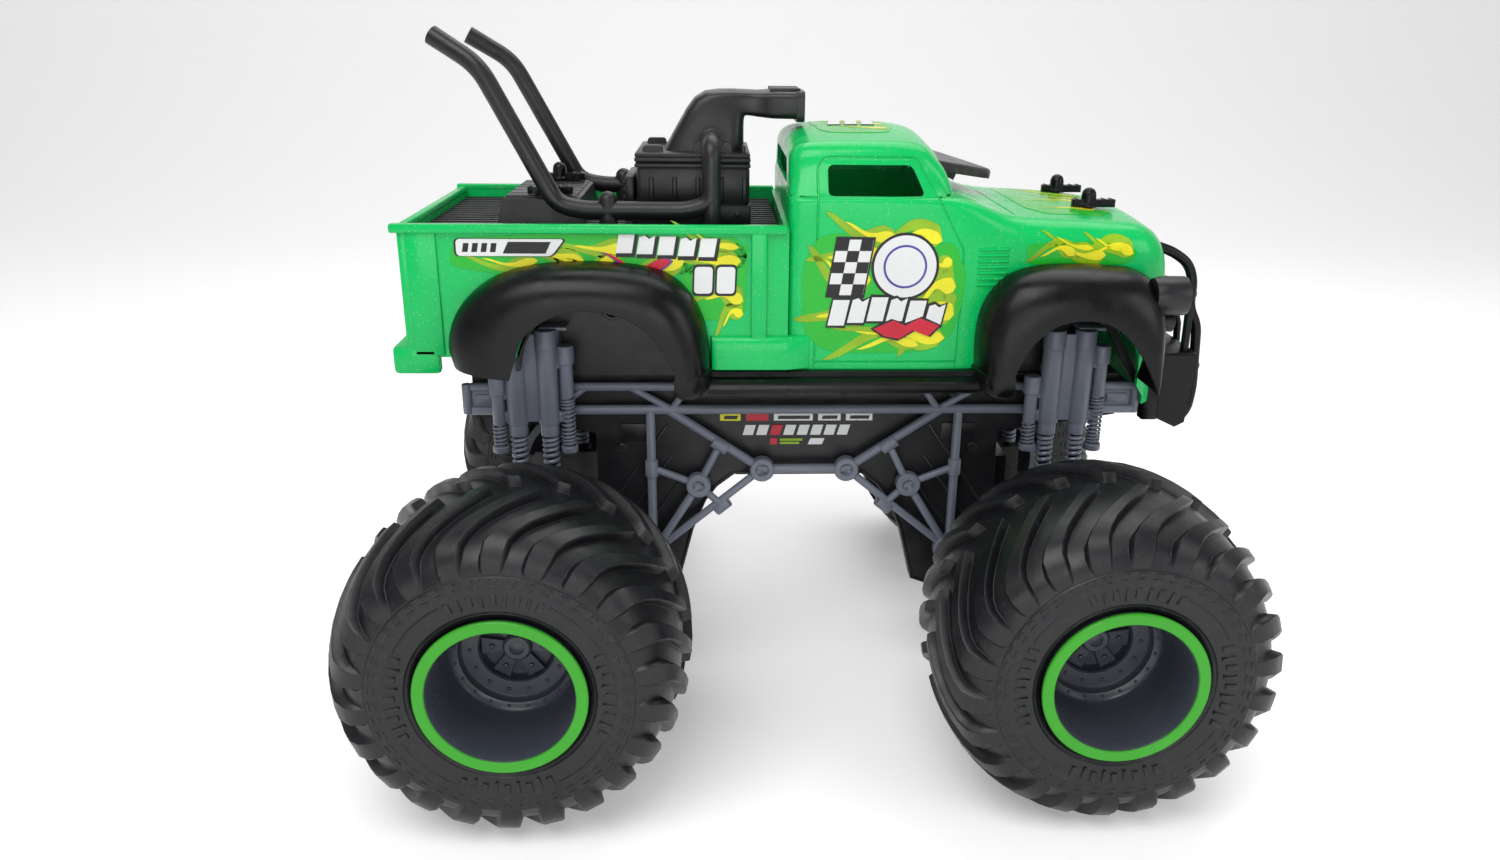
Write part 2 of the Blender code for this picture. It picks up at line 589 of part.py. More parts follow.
def bed_floor():
    """The black bed liner with the raised box behind the engine, moulded as one."""
    edge = SIDE_Y - WALL - GAP
    pieces = [box((TAIL_X + WALL + GAP, -edge, FLOOR_Z - 0.0022), (BED_X - WALL - GAP, edge, FLOOR_Z)),
              loft([[(x, y, z) for x, y in ((-0.1415 + lean, -0.033 + lean), (-0.1005 - lean, -0.033 + lean),
                                            (-0.1005 - lean, 0.033 - lean), (-0.1415 + lean, 0.033 - lean))]
                    for lean, z in ((0.0, FLOOR_Z - 0.001), (0.003, 0.2520))])]
    holes = [box((-0.1370, -0.0285, 0.2200), (-0.1050, 0.0285, 0.2500))]
    for side in SIDES.values():
        place = (TAIL_LATCH_X, side * TAIL_LATCH_Y)
        holes.append(rod((*place, 0.2300), (*place, 0.2600), 0.0024, sides=10))
    joined("bed_floor", "black", pieces, holes)


def fender(label, side):
    """Front fender, running board and rear fender, one black moulding for each side."""
    rear = arc((-0.1005, 0.1840), (0.0580, 0.0450), 0, 184, 12, 2.5)
    front = arc((0.1205, 0.1840), (0.0425, 0.0448), -4, 180, 12, 2.7)
    rear_in = arc(*ARCHES["rear"], 180, 0, 10)
    front_in = arc(*ARCHES["front"], 180, 0, 10)
    outline = (rear_in + [(-0.0560, BOARD_LOW), (front_in[0][0], BOARD_LOW)] + front_in
               + [(0.1600, 0.1740)] + front + rear + [(-0.1560, 0.1870)])
    low, high = sorted((side * FENDER_IN, side * FENDER_OUT))
    made = joined(f"fender_{label}", "black", [plate(outline, low, high)])
    bevel = made.modifiers.new("Bevel", "BEVEL")
    bevel.width = 0.004
    bevel.segments = 1
    bevel.limit_method = "ANGLE"
    bevel.angle_limit = math.radians(60)
    baked(made)


def lights_and_visor():
    for label, side in SIDES.items():
        y, z = side * 0.0745, 0.2165
        lamp = [rod((0.1634, y, z), (0.1735, y, z), 0.0078, sides=14),
                rod((0.1725, y, z), (0.1750, y, z), 0.0066, sides=14)]
        joined(f"headlight_{label}", "black", lamp)
    outline = [(0.0560, -0.0560), (0.0955, 0.0), (0.0560, 0.0560), (0.0520, 0.0560), (0.0640, 0.0), (0.0520, -0.0560)]
    rings = []
    for lift in (0.0, 0.0036):
        rings.append([(x, y, 0.2782 - 0.32 * (x - 0.0560) + lift + 0.0016) for x, y in outline])
    visor = loft(rings)
    joined("visor", "black", [visor], [box((0.0300, -0.1, 0.25), (0.0588, 0.1, 0.30))])


def front_end():
    outline = [(0.1740, 0.1810), (0.1910, 0.1810), (0.1885, 0.1470), (0.1840, 0.1445), (0.1745, 0.1485)]
    pieces = [plate(outline, -0.0500, 0.0500), box((0.1648, -0.0420, 0.1560), (0.1760, 0.0420, 0.1600))]
    joined("bumper", "black", pieces)
    rings = []
    for side in SIDES.values():
        y = side * 0.0380
        path = [(0.1762, y, 0.2300), (0.1830, y, 0.2242), (0.1875, y, 0.2160), (0.1885, y, 0.2010),
                (0.1940, y, 0.1860), (0.1950, y, 0.1700), (0.1955, y, 0.1610), (0.1945, y, 0.1480),
                (0.1915, y, 0.1440)]
        rings.append(tube(path, 0.0024, resolution=1))
    for x, z in ((0.1880, 0.2080), (0.1950, 0.1720)):
        rings.append(rod((x, -0.0380, z), (x, 0.0380, z), 0.0024, sides=8))
    joined("bull_bar", "black", rings)


def engine():
    z = FLOOR_Z + GAP
    pieces = [box((-0.0790, -0.0300, z), (-0.0240, 0.0300, 0.2660)),
              box((-0.0775, -0.0285, 0.2650), (-0.0250, 0.0285, 0.2700)),
              box((-0.0830, -0.0200, z), (-0.0780, 0.0200, 0.2620)),
              box((-0.0745, -0.0260, 0.2690), (-0.0660, 0.0260, 0.2740)),
              box((-0.0330, -0.0260, 0.2690), (-0.0260, 0.0260, 0.2740))]
    for i in range(4):
        x = -0.0700 + 0.0115 * i
        pieces.append(box((x, -0.0312, 0.2440), (x + 0.0020, 0.0312, 0.2600)))
    joined("engine_block", "black", pieces)
    low = 0.2700 + GAP
    outline = [(-0.0655, low), (-0.0350, low), (-0.0350, 0.2745), (-0.0265, 0.2765), (-0.0265, 0.2875),
               (-0.0023, 0.2864), (0.0020, 0.2846), (0.0020, 0.2975), (-0.0016, 0.2994), (-0.0445, 0.2990),
               (-0.0522, 0.2935)]
    scoop = plate(outline, -0.0190, 0.0190)
    joined("air_scoop", "black", [scoop], [box((-0.0150, -0.0155, 0.2880), (0.0100, 0.0155, 0.2965))])


def exhaust(label, side):
    """A stack leaning back from the bed, its run along the floor, and its riser up the engine's side."""
    def at(x, y, z):
        return (x, side * y, z)

    low = FLOOR_Z + 0.0052
    stack = [at(-0.1640, 0.0372, 0.3225), at(-0.1440, 0.0420, 0.3104), at(-0.1395, 0.0424, 0.3060),
             at(-0.1140, 0.0440, 0.2565), at(-0.1085, 0.0444, 0.2495), at(-0.1000, 0.0446, 0.2470)]
    run = stack[-1:] + [at(-0.0500, 0.0450, 0.2470)]
    riser = [at(-0.0420, 0.0450, FLOOR_Z + GAP), at(-0.0420, 0.0450, 0.2700), at(-0.0420, 0.0430, 0.2745),
             at(-0.0420, 0.0380, 0.2765), at(-0.0420, 0.0318, 0.2765)]
    pieces = [tube(stack, 0.0041, resolution=1), tube(run, 0.0040, resolution=1),
              tube([at(-0.0550, 0.0450, 0.2470), at(-0.0480, 0.0450, 0.2490), at(-0.0420, 0.0450, 0.2560)],
                   0.0039, resolution=1),
              tube(riser, 0.0042, resolution=1),
              rod(at(-0.0888, 0.0448, FLOOR_Z + GAP), at(-0.0888, 0.0448, 0.2530), 0.0042),
              ball(at(-0.0888, 0.0448, 0.2530), 0.0042)]
    joined(f"exhaust_{label}", "black", pieces)


def latches():
    """Quarter-turn knobs that hold the body down: a dome, a lever bar and a stem through the skin."""
    places = {"hood": (LATCH_X, LATCH_Y, HOOD_Z, 0.2405), "tail": (TAIL_LATCH_X, TAIL_LATCH_Y, 0.2520, 0.2440)}
    for name, (x, y, z, stem_low) in places.items():
        for label, side in SIDES.items():
            base = z + GAP
            centre = (x, side * y)
            bar_high = base + 0.0036
            pieces = [box((x - 0.0080, side * y - 0.0022, base), (x + 0.0128, side * y + 0.0022, bar_high)),
                      rod((*centre, base), (*centre, base + 0.0054), 0.0035, sides=10),
                      ball((*centre, base + 0.0054), 0.0035, sides=10),
                      rod((*centre, stem_low), (*centre, base + 0.001), 0.0019, sides=6)]
            joined(f"{name}_latch_{label}", "black", pieces)


clear_scene()
truck = new_collection("monster_truck")
for end_name in ENDS:
    for side_name, side_sign in SIDES.items():
        wheel(end_name, side_name)
        shock_tower(end_name, side_name)
        for number, offset in ((1, -TOWER_PITCH), (2, TOWER_PITCH)):
            spring(f"spring_{end_name}_{side_name}_{number}", ENDS[end_name] * AXLE_X + offset, side_sign * TOWER_Y)
for side_name, side_sign in SIDES.items():
    knuckle(side_name, side_sign)
    side_frame(side_name, side_sign)
    fender(side_name, side_sign)
    exhaust(side_name, side_sign)
front_axle()
steering_gear()
rear_axle()
drive_train()
chassis_tub()
battery_bay()
body_shell()
bed_floor()
lights_and_visor()
front_end()
engine()
latches()
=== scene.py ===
"""Looks of the radio-controlled monster truck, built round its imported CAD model.

Metres, +Z up, +X towards the front bumper, +Y towards the truck's left side. What has two sides is
built for the right side, which is the one with negative Y, and mirrored for the left.
"""

import math
import random

import bmesh
import bpy
from mathutils import Matrix, Vector
from mathutils.bvhtree import BVHTree
from mathutils.geometry import delaunay_2d_cdt


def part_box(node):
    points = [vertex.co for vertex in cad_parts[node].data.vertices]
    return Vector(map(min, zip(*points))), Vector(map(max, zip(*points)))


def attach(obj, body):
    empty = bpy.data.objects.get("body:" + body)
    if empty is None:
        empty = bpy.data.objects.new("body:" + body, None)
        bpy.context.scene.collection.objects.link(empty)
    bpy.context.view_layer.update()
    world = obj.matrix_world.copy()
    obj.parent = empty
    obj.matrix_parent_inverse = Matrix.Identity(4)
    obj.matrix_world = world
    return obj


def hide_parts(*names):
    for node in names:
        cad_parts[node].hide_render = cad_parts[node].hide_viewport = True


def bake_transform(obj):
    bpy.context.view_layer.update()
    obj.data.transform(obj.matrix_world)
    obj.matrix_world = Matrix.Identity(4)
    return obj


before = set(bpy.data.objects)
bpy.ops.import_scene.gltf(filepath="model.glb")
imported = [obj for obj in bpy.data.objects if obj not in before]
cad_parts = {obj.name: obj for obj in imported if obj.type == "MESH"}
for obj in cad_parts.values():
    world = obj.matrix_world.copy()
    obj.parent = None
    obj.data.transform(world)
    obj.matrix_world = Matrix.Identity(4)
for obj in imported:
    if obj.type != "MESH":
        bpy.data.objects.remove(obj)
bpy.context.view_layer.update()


def middle(node):
    low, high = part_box(node)
    return (low + high) / 2


WHEEL = middle("tyre_front_right")          # the wheel that is built, before it is copied to the others
TYRE_R = (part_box("tyre_front_right")[1].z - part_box("tyre_front_right")[0].z) / 2
AXLE_X, AXLE_Z = WHEEL.x, WHEEL.z
TYRE_Y = -WHEEL.y
SIDE_Y = 0.066                              # bedside
DOOR_Y = 0.0664
SILL_Z = 0.179
BELT_Z = 0.2572                             # the line between doors and windows
TUB_Y = 0.043                              # the face of the tub that its stickers lie on
FLOOR_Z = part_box("bed_floor")[0].z + 0.0022
FRAME_X, FRAME_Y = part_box("side_frame_right")[1].x - 0.1615, 0.049
TOWER_Y = 0.0563
TOWER_PITCH = 0.0073                        # each spring's distance from its axle, along X
SPRING_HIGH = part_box("spring_front_right_1")[1].z
LABELS = {"right": -1, "left": 1}
ENDS = {"front": 1, "rear": -1}


# ---------------------------------------------------------------- materials

def srgb(red, green, blue):
    """A colour given as it looks on a screen, 0 to 255, as the linear colour that a shader takes."""
    return [c / 255 / 12.92 if c <= 10 else ((c / 255 + 0.055) / 1.055) ** 2.4 for c in (red, green, blue)]


def add(tree, kind, links=None, **settings):
    """A shader node with its settings and inputs; an input is a value or another node's output."""
    node = tree.nodes.new(kind)
    for key, value in settings.items():
        setattr(node, key, value)
    for key, value in (links or {}).items():
        if isinstance(value, bpy.types.NodeSocket):
            tree.links.new(value, node.inputs[key])
        else:
            node.inputs[key].default_value = value
    return node


def noise(tree, where, scale, detail=3.0):
    return add(tree, "ShaderNodeTexNoise", {"Vector": where, "Scale": scale, "Detail": detail}).outputs["Fac"]


def spread(tree, value, low, high, source=(0.3, 0.7)):
    links = {"Value": value, "From Min": source[0], "From Max": source[1], "To Min": low, "To Max": high}
    return add(tree, "ShaderNodeMapRange", links).outputs["Result"]


def mixed(tree, share, first, second):
    """Two colours mixed: each is a list of three numbers or another node's output."""
    node = add(tree, "ShaderNodeMix", {0: share}, data_type="RGBA")
    for index, colour in ((6, first), (7, second)):
        if isinstance(colour, bpy.types.NodeSocket):
            tree.links.new(colour, node.inputs[index])
        else:
            node.inputs[index].default_value = (*colour, 1.0)
    return node.outputs[2]


def moulded(name, colour, roughness, grain=0.25, grain_scale=1500, blotch=0.14, edge=0.0004,
            metallic=0.0, coat=0.0, dust=0.0, flecks=0.0, specular=0.5):
    """A moulded or metal surface: uneven colour and gloss, fine grain, softened edges, and dust or flecks if asked."""
    made = bpy.data.materials.new(name)
    made.use_nodes = True
    tree = made.node_tree
    shader = tree.nodes["Principled BSDF"]
    where = add(tree, "ShaderNodeTexCoord").outputs["Object"]
    broad = noise(tree, where, 35)
    tint = mixed(tree, spread(tree, broad, 0.0, 1.0), [c * (1 - blotch) for c in colour],
                 [min(c * (1 + blotch), 1.0) for c in colour])
    if flecks:
        cells = add(tree, "ShaderNodeTexVoronoi", {"Vector": where, "Scale": 1100})
        chosen = add(tree, "ShaderNodeSeparateColor", {"Color": cells.outputs["Color"]}).outputs["Red"]
        near = spread(tree, cells.outputs["Distance"], 1.0, 0.0, (0.18, 0.34))
        share = add(tree, "ShaderNodeMath", {0: near, 1: spread(tree, chosen, 0.0, flecks, (0.8, 0.95))},
                    operation="MULTIPLY").outputs[0]
        tint = mixed(tree, share, tint, [0.5, 0.85, 0.3])
    if dust:
        specks = spread(tree, noise(tree, where, 420, 6), 0.0, dust, (0.56, 0.74))
        tint = mixed(tree, specks, tint, [0.16, 0.165, 0.17])
    tree.links.new(tint, shader.inputs["Base Color"])
    tree.links.new(spread(tree, noise(tree, where, 110, 5), roughness - 0.07, roughness + 0.09),
                   shader.inputs["Roughness"])
    soft = add(tree, "ShaderNodeBevel", {"Radius": edge}, samples=4).outputs["Normal"]
    bump = add(tree, "ShaderNodeBump", {"Strength": grain, "Distance": 0.0001, "Normal": soft,
                                        "Height": noise(tree, where, grain_scale, 2)})
    tree.links.new(bump.outputs["Normal"], shader.inputs["Normal"])
    shader.inputs["Metallic"].default_value = metallic
    shader.inputs["Coat Weight"].default_value = coat
    shader.inputs["Coat Roughness"].default_value = 0.12
    shader.inputs["Specular IOR Level"].default_value = specular
    return made


GREEN = moulded("body_green", srgb(2, 180, 90), 0.22, grain=0.1, blotch=0.05, flecks=0.35, specular=0.32)
RING_GREEN = moulded("ring_green", srgb(50, 150, 30), 0.4, grain=0.15, blotch=0.05, specular=0.35)
BLACK = moulded("satin_black", srgb(24, 24, 27), 0.36, grain=0.3, blotch=0.25, specular=0.4)
TRIM = moulded("fender_black", srgb(7, 7, 10), 0.3, grain=0.16, blotch=0.2, specular=0.26)
GREY = moulded("grey_plastic", srgb(100, 105, 118), 0.42, grain=0.2, blotch=0.08)
# The wheels' grey plastic darkened all over: painted shade for the deep barrel and the web far inside the rim
RIM_PAINTED_SHADE = moulded("rim_grey_painted_shade", srgb(58, 62, 71), 0.3, grain=0.16, blotch=0.1)
RUBBER = moulded("tyre_rubber", srgb(12, 13, 17), 0.38, grain=0.5, grain_scale=2200, blotch=0.25, dust=0.07,
                 specular=0.42)
STEEL = moulded("spring_steel", srgb(112, 117, 130), 0.36, metallic=0.2, grain=0.3, edge=0.0001)
WHITE_GEAR = moulded("white_gear", srgb(225, 224, 218), 0.42)
BOARD = moulded("circuit_board", srgb(28, 92, 48), 0.4)
WRAP = moulded("battery_wrap", srgb(30, 60, 140), 0.3)
LENS = moulded("lamp_lens", srgb(215, 222, 228), 0.1, grain=0.05, coat=1.0)


def sticker(name, colour, grain=0.08, blotch=0.14):
    return moulded(f"sticker_{name}", colour, 0.24, grain=grain, blotch=blotch, coat=0.1, edge=0.0001, specular=0.3)


INKS = {"base": sticker("green", srgb(30, 170, 44), blotch=0.04),
        "lime": sticker("lime", srgb(128, 168, 20), blotch=0.25),
        "yellow": sticker("yellow", srgb(214, 208, 30), blotch=0.16),
        "white": sticker("white", srgb(212, 214, 214), 0.1, 0.03), "ink": sticker("ink", srgb(22, 22, 26)),
        "red": sticker("red", srgb(186, 22, 48)), "violet": sticker("violet", srgb(74, 62, 150))}


# ---------------------------------------------------------------- shapes

def rounded(points, radius, steps=6, closed=False):
    """A path with its corners turned into curves; radius is how far from each corner the curve starts."""
    points = [Vector(p) for p in points]
    count, made = len(points), []
    for i, point in enumerate(points):
        if not closed and i in (0, count - 1):
            made.append(point)
            continue
        before, after = points[i - 1], points[(i + 1) % count]
        reach = min(radius, (before - point).length * 0.49, (after - point).length * 0.49)
        first = point + (before - point).normalized() * reach
        last = point + (after - point).normalized() * reach
        for k in range(steps + 1):
            t = k / steps
            made.append(first * (1 - t) ** 2 + point * 2 * t * (1 - t) + last * t ** 2)
    return made


def soft_outline(points, radius, steps, closed=True):
    """A flat outline with its corners rounded, as pairs."""
    return [(p.x, p.z) for p in rounded([(x, 0, z) for x, z in points], radius, steps, closed)]


def curve_through(points, steps=6):
    """A smooth curve through every point (Catmull-Rom)."""
    points = [Vector(p) for p in points]
    ends = [points[0] * 2 - points[1], *points, points[-1] * 2 - points[-2]]
    made = []
    for a, b, c, d in zip(ends, ends[1:], ends[2:], ends[3:]):
        for k in range(steps):
            t = k / steps
            made.append((b * 2 + (c - a) * t + (a * 2 - b * 5 + c * 4 - d) * t ** 2
                         + (b * 3 - a - c * 3 + d) * t ** 3) / 2)
    return made + [points[-1]]


class Shape:
    """Geometry for one piece, gathered in one mesh. Each part takes the paint that is current when it is added."""

    def __init__(self):
        self.mesh = bmesh.new()
        self.paint = 0

    def absorb(self, part, matrix=None):
        for face in part.faces:
            face.material_index = self.paint
        bmesh.ops.recalc_face_normals(part, faces=part.faces)
        mesh = bpy.data.meshes.new("part")
        part.to_mesh(mesh)
        part.free()
        if matrix is not None:
            mesh.transform(matrix)
        self.mesh.from_mesh(mesh)
        bpy.data.meshes.remove(mesh)

    def mirror(self):
        bmesh.ops.scale(self.mesh, vec=(1, -1, 1), verts=self.mesh.verts)
        bmesh.ops.reverse_faces(self.mesh, faces=self.mesh.faces)
        return self

    def box(self, low, high, bevel=0.0005, matrix=None):
        low, high = Vector(map(min, low, high)), Vector(map(max, low, high))
        part = bmesh.new()
        bmesh.ops.create_cube(part, size=1.0)
        bmesh.ops.scale(part, vec=high - low, verts=part.verts)
        bmesh.ops.translate(part, vec=(low + high) / 2, verts=part.verts)
        if bevel:
            reach = min(bevel, min(high - low) * 0.45)
            bmesh.ops.bevel(part, geom=part.edges[:], offset=reach, segments=2, profile=0.5, affect="EDGES")
        self.absorb(part, matrix)

    def lathe(self, profile, origin, axis, sides=40, closed=False):
        """(radius, along) points swept round an axis; a closed profile makes a ring."""
        part = bmesh.new()
        matrix = Vector(axis).to_track_quat("Z", "Y").to_matrix().to_4x4()
        matrix.translation = Vector(origin)
        rings = []
        for radius, along in profile:
            if radius < 1e-7:
                rings.append([part.verts.new((0, 0, along))] * sides)
                continue
            rings.append([part.verts.new((radius * math.cos(2 * math.pi * i / sides),
                                          radius * math.sin(2 * math.pi * i / sides), along))
                          for i in range(sides)])
        pairs = list(zip(rings, rings[1:])) + ([(rings[-1], rings[0])] if closed else [])
        for first, second in pairs:
            for i in range(sides):
                j = (i + 1) % sides
                corners = list(dict.fromkeys((first[i], first[j], second[j], second[i])))
                if len(corners) > 2:
                    part.faces.new(corners)
        self.absorb(part, matrix)

    def rod(self, start, end, radius, sides=20, bevel=0.0004, end_radius=None):
        start, end = Vector(start), Vector(end)
        long, last = (end - start).length, end_radius or radius
        b = min(bevel, radius * 0.4, long * 0.4)
        profile = [(0, 0), (radius - b, 0), (radius - b * 0.3, b * 0.3), (radius, b), (last, long - b),
                   (last - b * 0.3, long - b * 0.3), (last - b, long), (0, long)]
        self.lathe(profile, start, end - start, sides)

    def ball(self, centre, radius, sides=16, squeeze=(1, 1, 1)):
        part = bmesh.new()
        bmesh.ops.create_uvsphere(part, u_segments=sides, v_segments=sides // 2, radius=radius)
        weights = Vector((1.0, 7.31, 53.17))       # the sphere's faces come in any order, so this gives them one
        part.faces.sort(key=lambda face: face.calc_center_median().dot(weights))
        bmesh.ops.scale(part, vec=squeeze, verts=part.verts)
        self.absorb(part, Matrix.Translation(centre))

    def sweep(self, path, radius, sides=14, closed=False, flat=1.0):
        """A round bar along a path. radius is one number, or a function of the share of the way along."""
        path = [Vector(p) for p in path]
        part, rings, count = bmesh.new(), [], len(path)
        normal = None
        for i, point in enumerate(path):
            before = path[i - 1] if i or closed else point
            after = path[(i + 1) % count] if i < count - 1 or closed else point
            ahead = (after - before).normalized()
            if normal is None:
                normal = ahead.orthogonal().normalized()
            normal = (normal - ahead * normal.dot(ahead)).normalized()
            across = ahead.cross(normal)
            size = radius(i / (count - 1)) if callable(radius) else radius
            rings.append([part.verts.new(point + normal * size * math.cos(a) + across * size * flat * math.sin(a))
                          for a in (2 * math.pi * k / sides for k in range(sides))])
        pairs = list(zip(rings, rings[1:])) + ([(rings[-1], rings[0])] if closed else [])
        for first, second in pairs:
            for k in range(sides):
                j = (k + 1) % sides
                part.faces.new((first[k], first[j], second[j], second[k]))
        if not closed:
            part.faces.new(rings[0])
            part.faces.new(rings[-1])
        self.absorb(part)

    def prism(self, outline, low, high, axis="Y", bevel=0.0005, matrix=None):
        """A flat outline with a thickness: (x, z) points spanning Y, (y, z) spanning X or (x, y) spanning Z."""
        part = bmesh.new()
        place = {"Y": lambda u, v, w: (u, w, v), "X": lambda u, v, w: (w, u, v), "Z": lambda u, v, w: (u, v, w)}[axis]
        rings = [[part.verts.new(place(p[0], p[1], level)) for p in outline] for level in (low, high)]
        for i in range(len(outline)):
            j = (i + 1) % len(outline)
            part.faces.new((rings[0][i], rings[0][j], rings[1][j], rings[1][i]))
        part.faces.new(rings[0])
        part.faces.new(rings[1])
        if bevel:
            rim = [e for e in part.edges if e.calc_face_angle(0) > math.radians(25)]
            bmesh.ops.bevel(part, geom=rim, offset=bevel, segments=2, profile=0.5, affect="EDGES")
        self.absorb(part, matrix)

    def loft(self, rings, closed_rings=True, caps=True):
        part = bmesh.new()
        made = [[part.verts.new(p) for p in ring] for ring in rings]
        count = len(made[0])
        for first, second in zip(made, made[1:]):
            for i in range(count if closed_rings else count - 1):
                j = (i + 1) % count
                part.faces.new((first[i], first[j], second[j], second[i]))
        if caps:
            part.faces.new(made[0])
            part.faces.new(made[-1])
        self.absorb(part)

    def object(self, name, paints, sharp=35):
        mesh = bpy.data.meshes.new(name)
        bmesh.ops.remove_doubles(self.mesh, verts=self.mesh.verts, dist=1e-7)
        self.mesh.to_mesh(mesh)
        self.mesh.free()
        for paint in paints:
            mesh.materials.append(paint)
        mesh.shade_smooth()
        mesh.set_sharp_from_angle(angle=math.radians(sharp))
        made = bpy.data.objects.new(name, mesh)
        bpy.context.scene.collection.objects.link(made)
        return made

    def piece(self, name, paints, body, replaces=(), slot=None, sharp=35):
        return fitted(self.object(name, paints, sharp), body, replaces)


def fitted(made, body, replaces=()):
    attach(made, body)
    if replaces:
        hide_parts(*replaces)
    return made


def pair(name, build, paints, body, replaces=(), slot=None, sharp=35):
    """The same piece on both sides; a * in a replaced node's or a body's name stands for the side."""
    for label in LABELS:
        shape = build()
        if label == "left":
            shape.mirror()
        shape.piece(f"{name}_{label}", paints, body.replace("*", label),
                    [node.replace("*", label) for node in replaces], slot, sharp)


def boolean(target, others, operation):
    for other in others:
        modifier = target.modifiers.new("Boolean", "BOOLEAN")
        modifier.operation = operation
        modifier.solver = "EXACT"
        modifier.object = other
    bpy.context.view_layer.update()
    mesh = bpy.data.meshes.new_from_object(target.evaluated_get(bpy.context.evaluated_depsgraph_get()))
    target.modifiers.clear()
    target.data = mesh
    for other in others:
        bpy.data.objects.remove(other, do_unlink=True)
    return target


def smoothed(made, sharp=30):
    made.data.shade_smooth()
    made.data.set_sharp_from_angle(angle=math.radians(sharp))
    return made


def grid_dots(shape, count, radius, height, centre, size, phase=0.0):
    """Rivet heads on a circle round a wheel's axis, facing away from the truck."""
    for i in range(count):
        angle = 2 * math.pi * (i + phase) / count
        place = Vector(centre) + Vector((radius * math.cos(angle), -height, radius * math.sin(angle)))
        shape.ball(place, size, 8, (1, 0.8, 1))


# ---------------------------------------------------------------- wheels

LUGS = 22
LUG_HIGH = 0.0044
CARCASS = (0.05, TYRE_R - 0.05 - LUG_HIGH, 0.0436)     # foot radius, rise and half width of the round tread


def carcass(turn):
    """(radius, distance out from the middle plane) of the tread at an angle: 0 at the sidewall, 90 at the crown."""
    foot, rise, half = CARCASS
    c, s = math.cos(math.radians(turn)), math.sin(math.radians(turn))
    return foot + rise * math.copysign(abs(s) ** 0.87, s), half * math.copysign(abs(c) ** 0.87, c)


def lug(shape, start_angle, side):
    """One chevron bar: a flat wedge on the shoulder that turns into a bar sweeping forward to the crown."""
    stations = [(9, 0.0002, 0.0036, 0.0), (16, 0.0016, 0.0042, 0.0), (26, 0.0032, 0.0046, 0.5),
                (36, 0.0043, 0.0046, 1.5), (44, LUG_HIGH, 0.0042, 4.0), (53, LUG_HIGH, 0.0038, 8.0),
                (62, LUG_HIGH, 0.0034, 13.0), (71, LUG_HIGH, 0.0031, 18.0), (79, LUG_HIGH, 0.0029, 22.5),
                (85, LUG_HIGH - 0.0002, 0.0028, 25.5),
                (86.5, -0.0008, 0.0028, 26.3)]
    rings = []
    for turn, high, half_wide, sweep in stations:
        radius, out = carcass(turn)
        ahead, behind = carcass(turn + 1), carcass(turn - 1)
        normal = Vector((behind[1] - ahead[1], ahead[0] - behind[0])).normalized()
        ring = []
        for across, lift in ((-1.22, -0.0008), (-1.0, high - 0.0007), (-0.84, high), (0.84, high),
                             (1.0, high - 0.0007), (1.22, -0.0008)):
            place = Vector((radius, out)) + normal * lift
            angle = start_angle + math.radians(sweep) + across * half_wide / radius
            ring.append((place.x * math.sin(angle), side * place.y, place.x * math.cos(angle)))
        rings.append(ring)
    shape.loft(rings)


def tyre_shape():
    """A tyre with its axis along Y through the origin, its outer side towards -Y."""
    shape = Shape()
    wall = [(0.034, 0.04), (0.0352, 0.042), (0.0372, 0.043), (0.0376, 0.0424), (0.0382, 0.043), (0.043, 0.0436),
            (0.048, 0.0439), (0.053, 0.0437), (0.0534, 0.0432), (0.0539, 0.0433)]
    tread = [carcass(turn) for turn in range(18, 90, 6)]
    half = wall + tread
    outline = half + [(radius, -out) for radius, out in reversed(half)]
    shape.lathe([(r, -a) for r, a in outline] + [(0.033, 0.036), (0.033, -0.036)], (0, 0, 0), (0, 1, 0), 88, True)
    for i in range(LUGS):
        lug(shape, 2 * math.pi * i / LUGS, -1)
        lug(shape, 2 * math.pi * (i + 0.5) / LUGS, 1)
    for side in (-1, 1):
        out = side * 0.0437
        for row, radius in enumerate((0.0494, 0.0519)):
            for i in range(46):
                turn = Matrix.Rotation(2 * math.pi * (i + 0.12 * row) / 46, 4, "Y")
                shape.box((-0.0017, out - 0.0005, radius - 0.0005), (0.0017, out + 0.0005, radius + 0.0005), 0.0002,
                          turn)
        for quarter in range(4):
            middle_angle = math.radians(45 + 90 * quarter)
            arcs = [middle_angle + math.radians(a) for a in range(-17, 18, 2)]
            shape.sweep([(0.0452 * math.sin(a), side * 0.04375, 0.0452 * math.cos(a)) for a in arcs], 0.00035, 6)
            for k in range(9):
                turn = Matrix.Rotation(math.radians(90 * quarter - 24 + 6 * k), 4, "Y")
                low, high = (-0.0006, 0.04) if k % 2 else (-0.0012, 0.0412)
                shape.box((low, out - 0.0005, high), (-low, out + 0.0003, 0.0458), 0.0002, turn)
    return shape


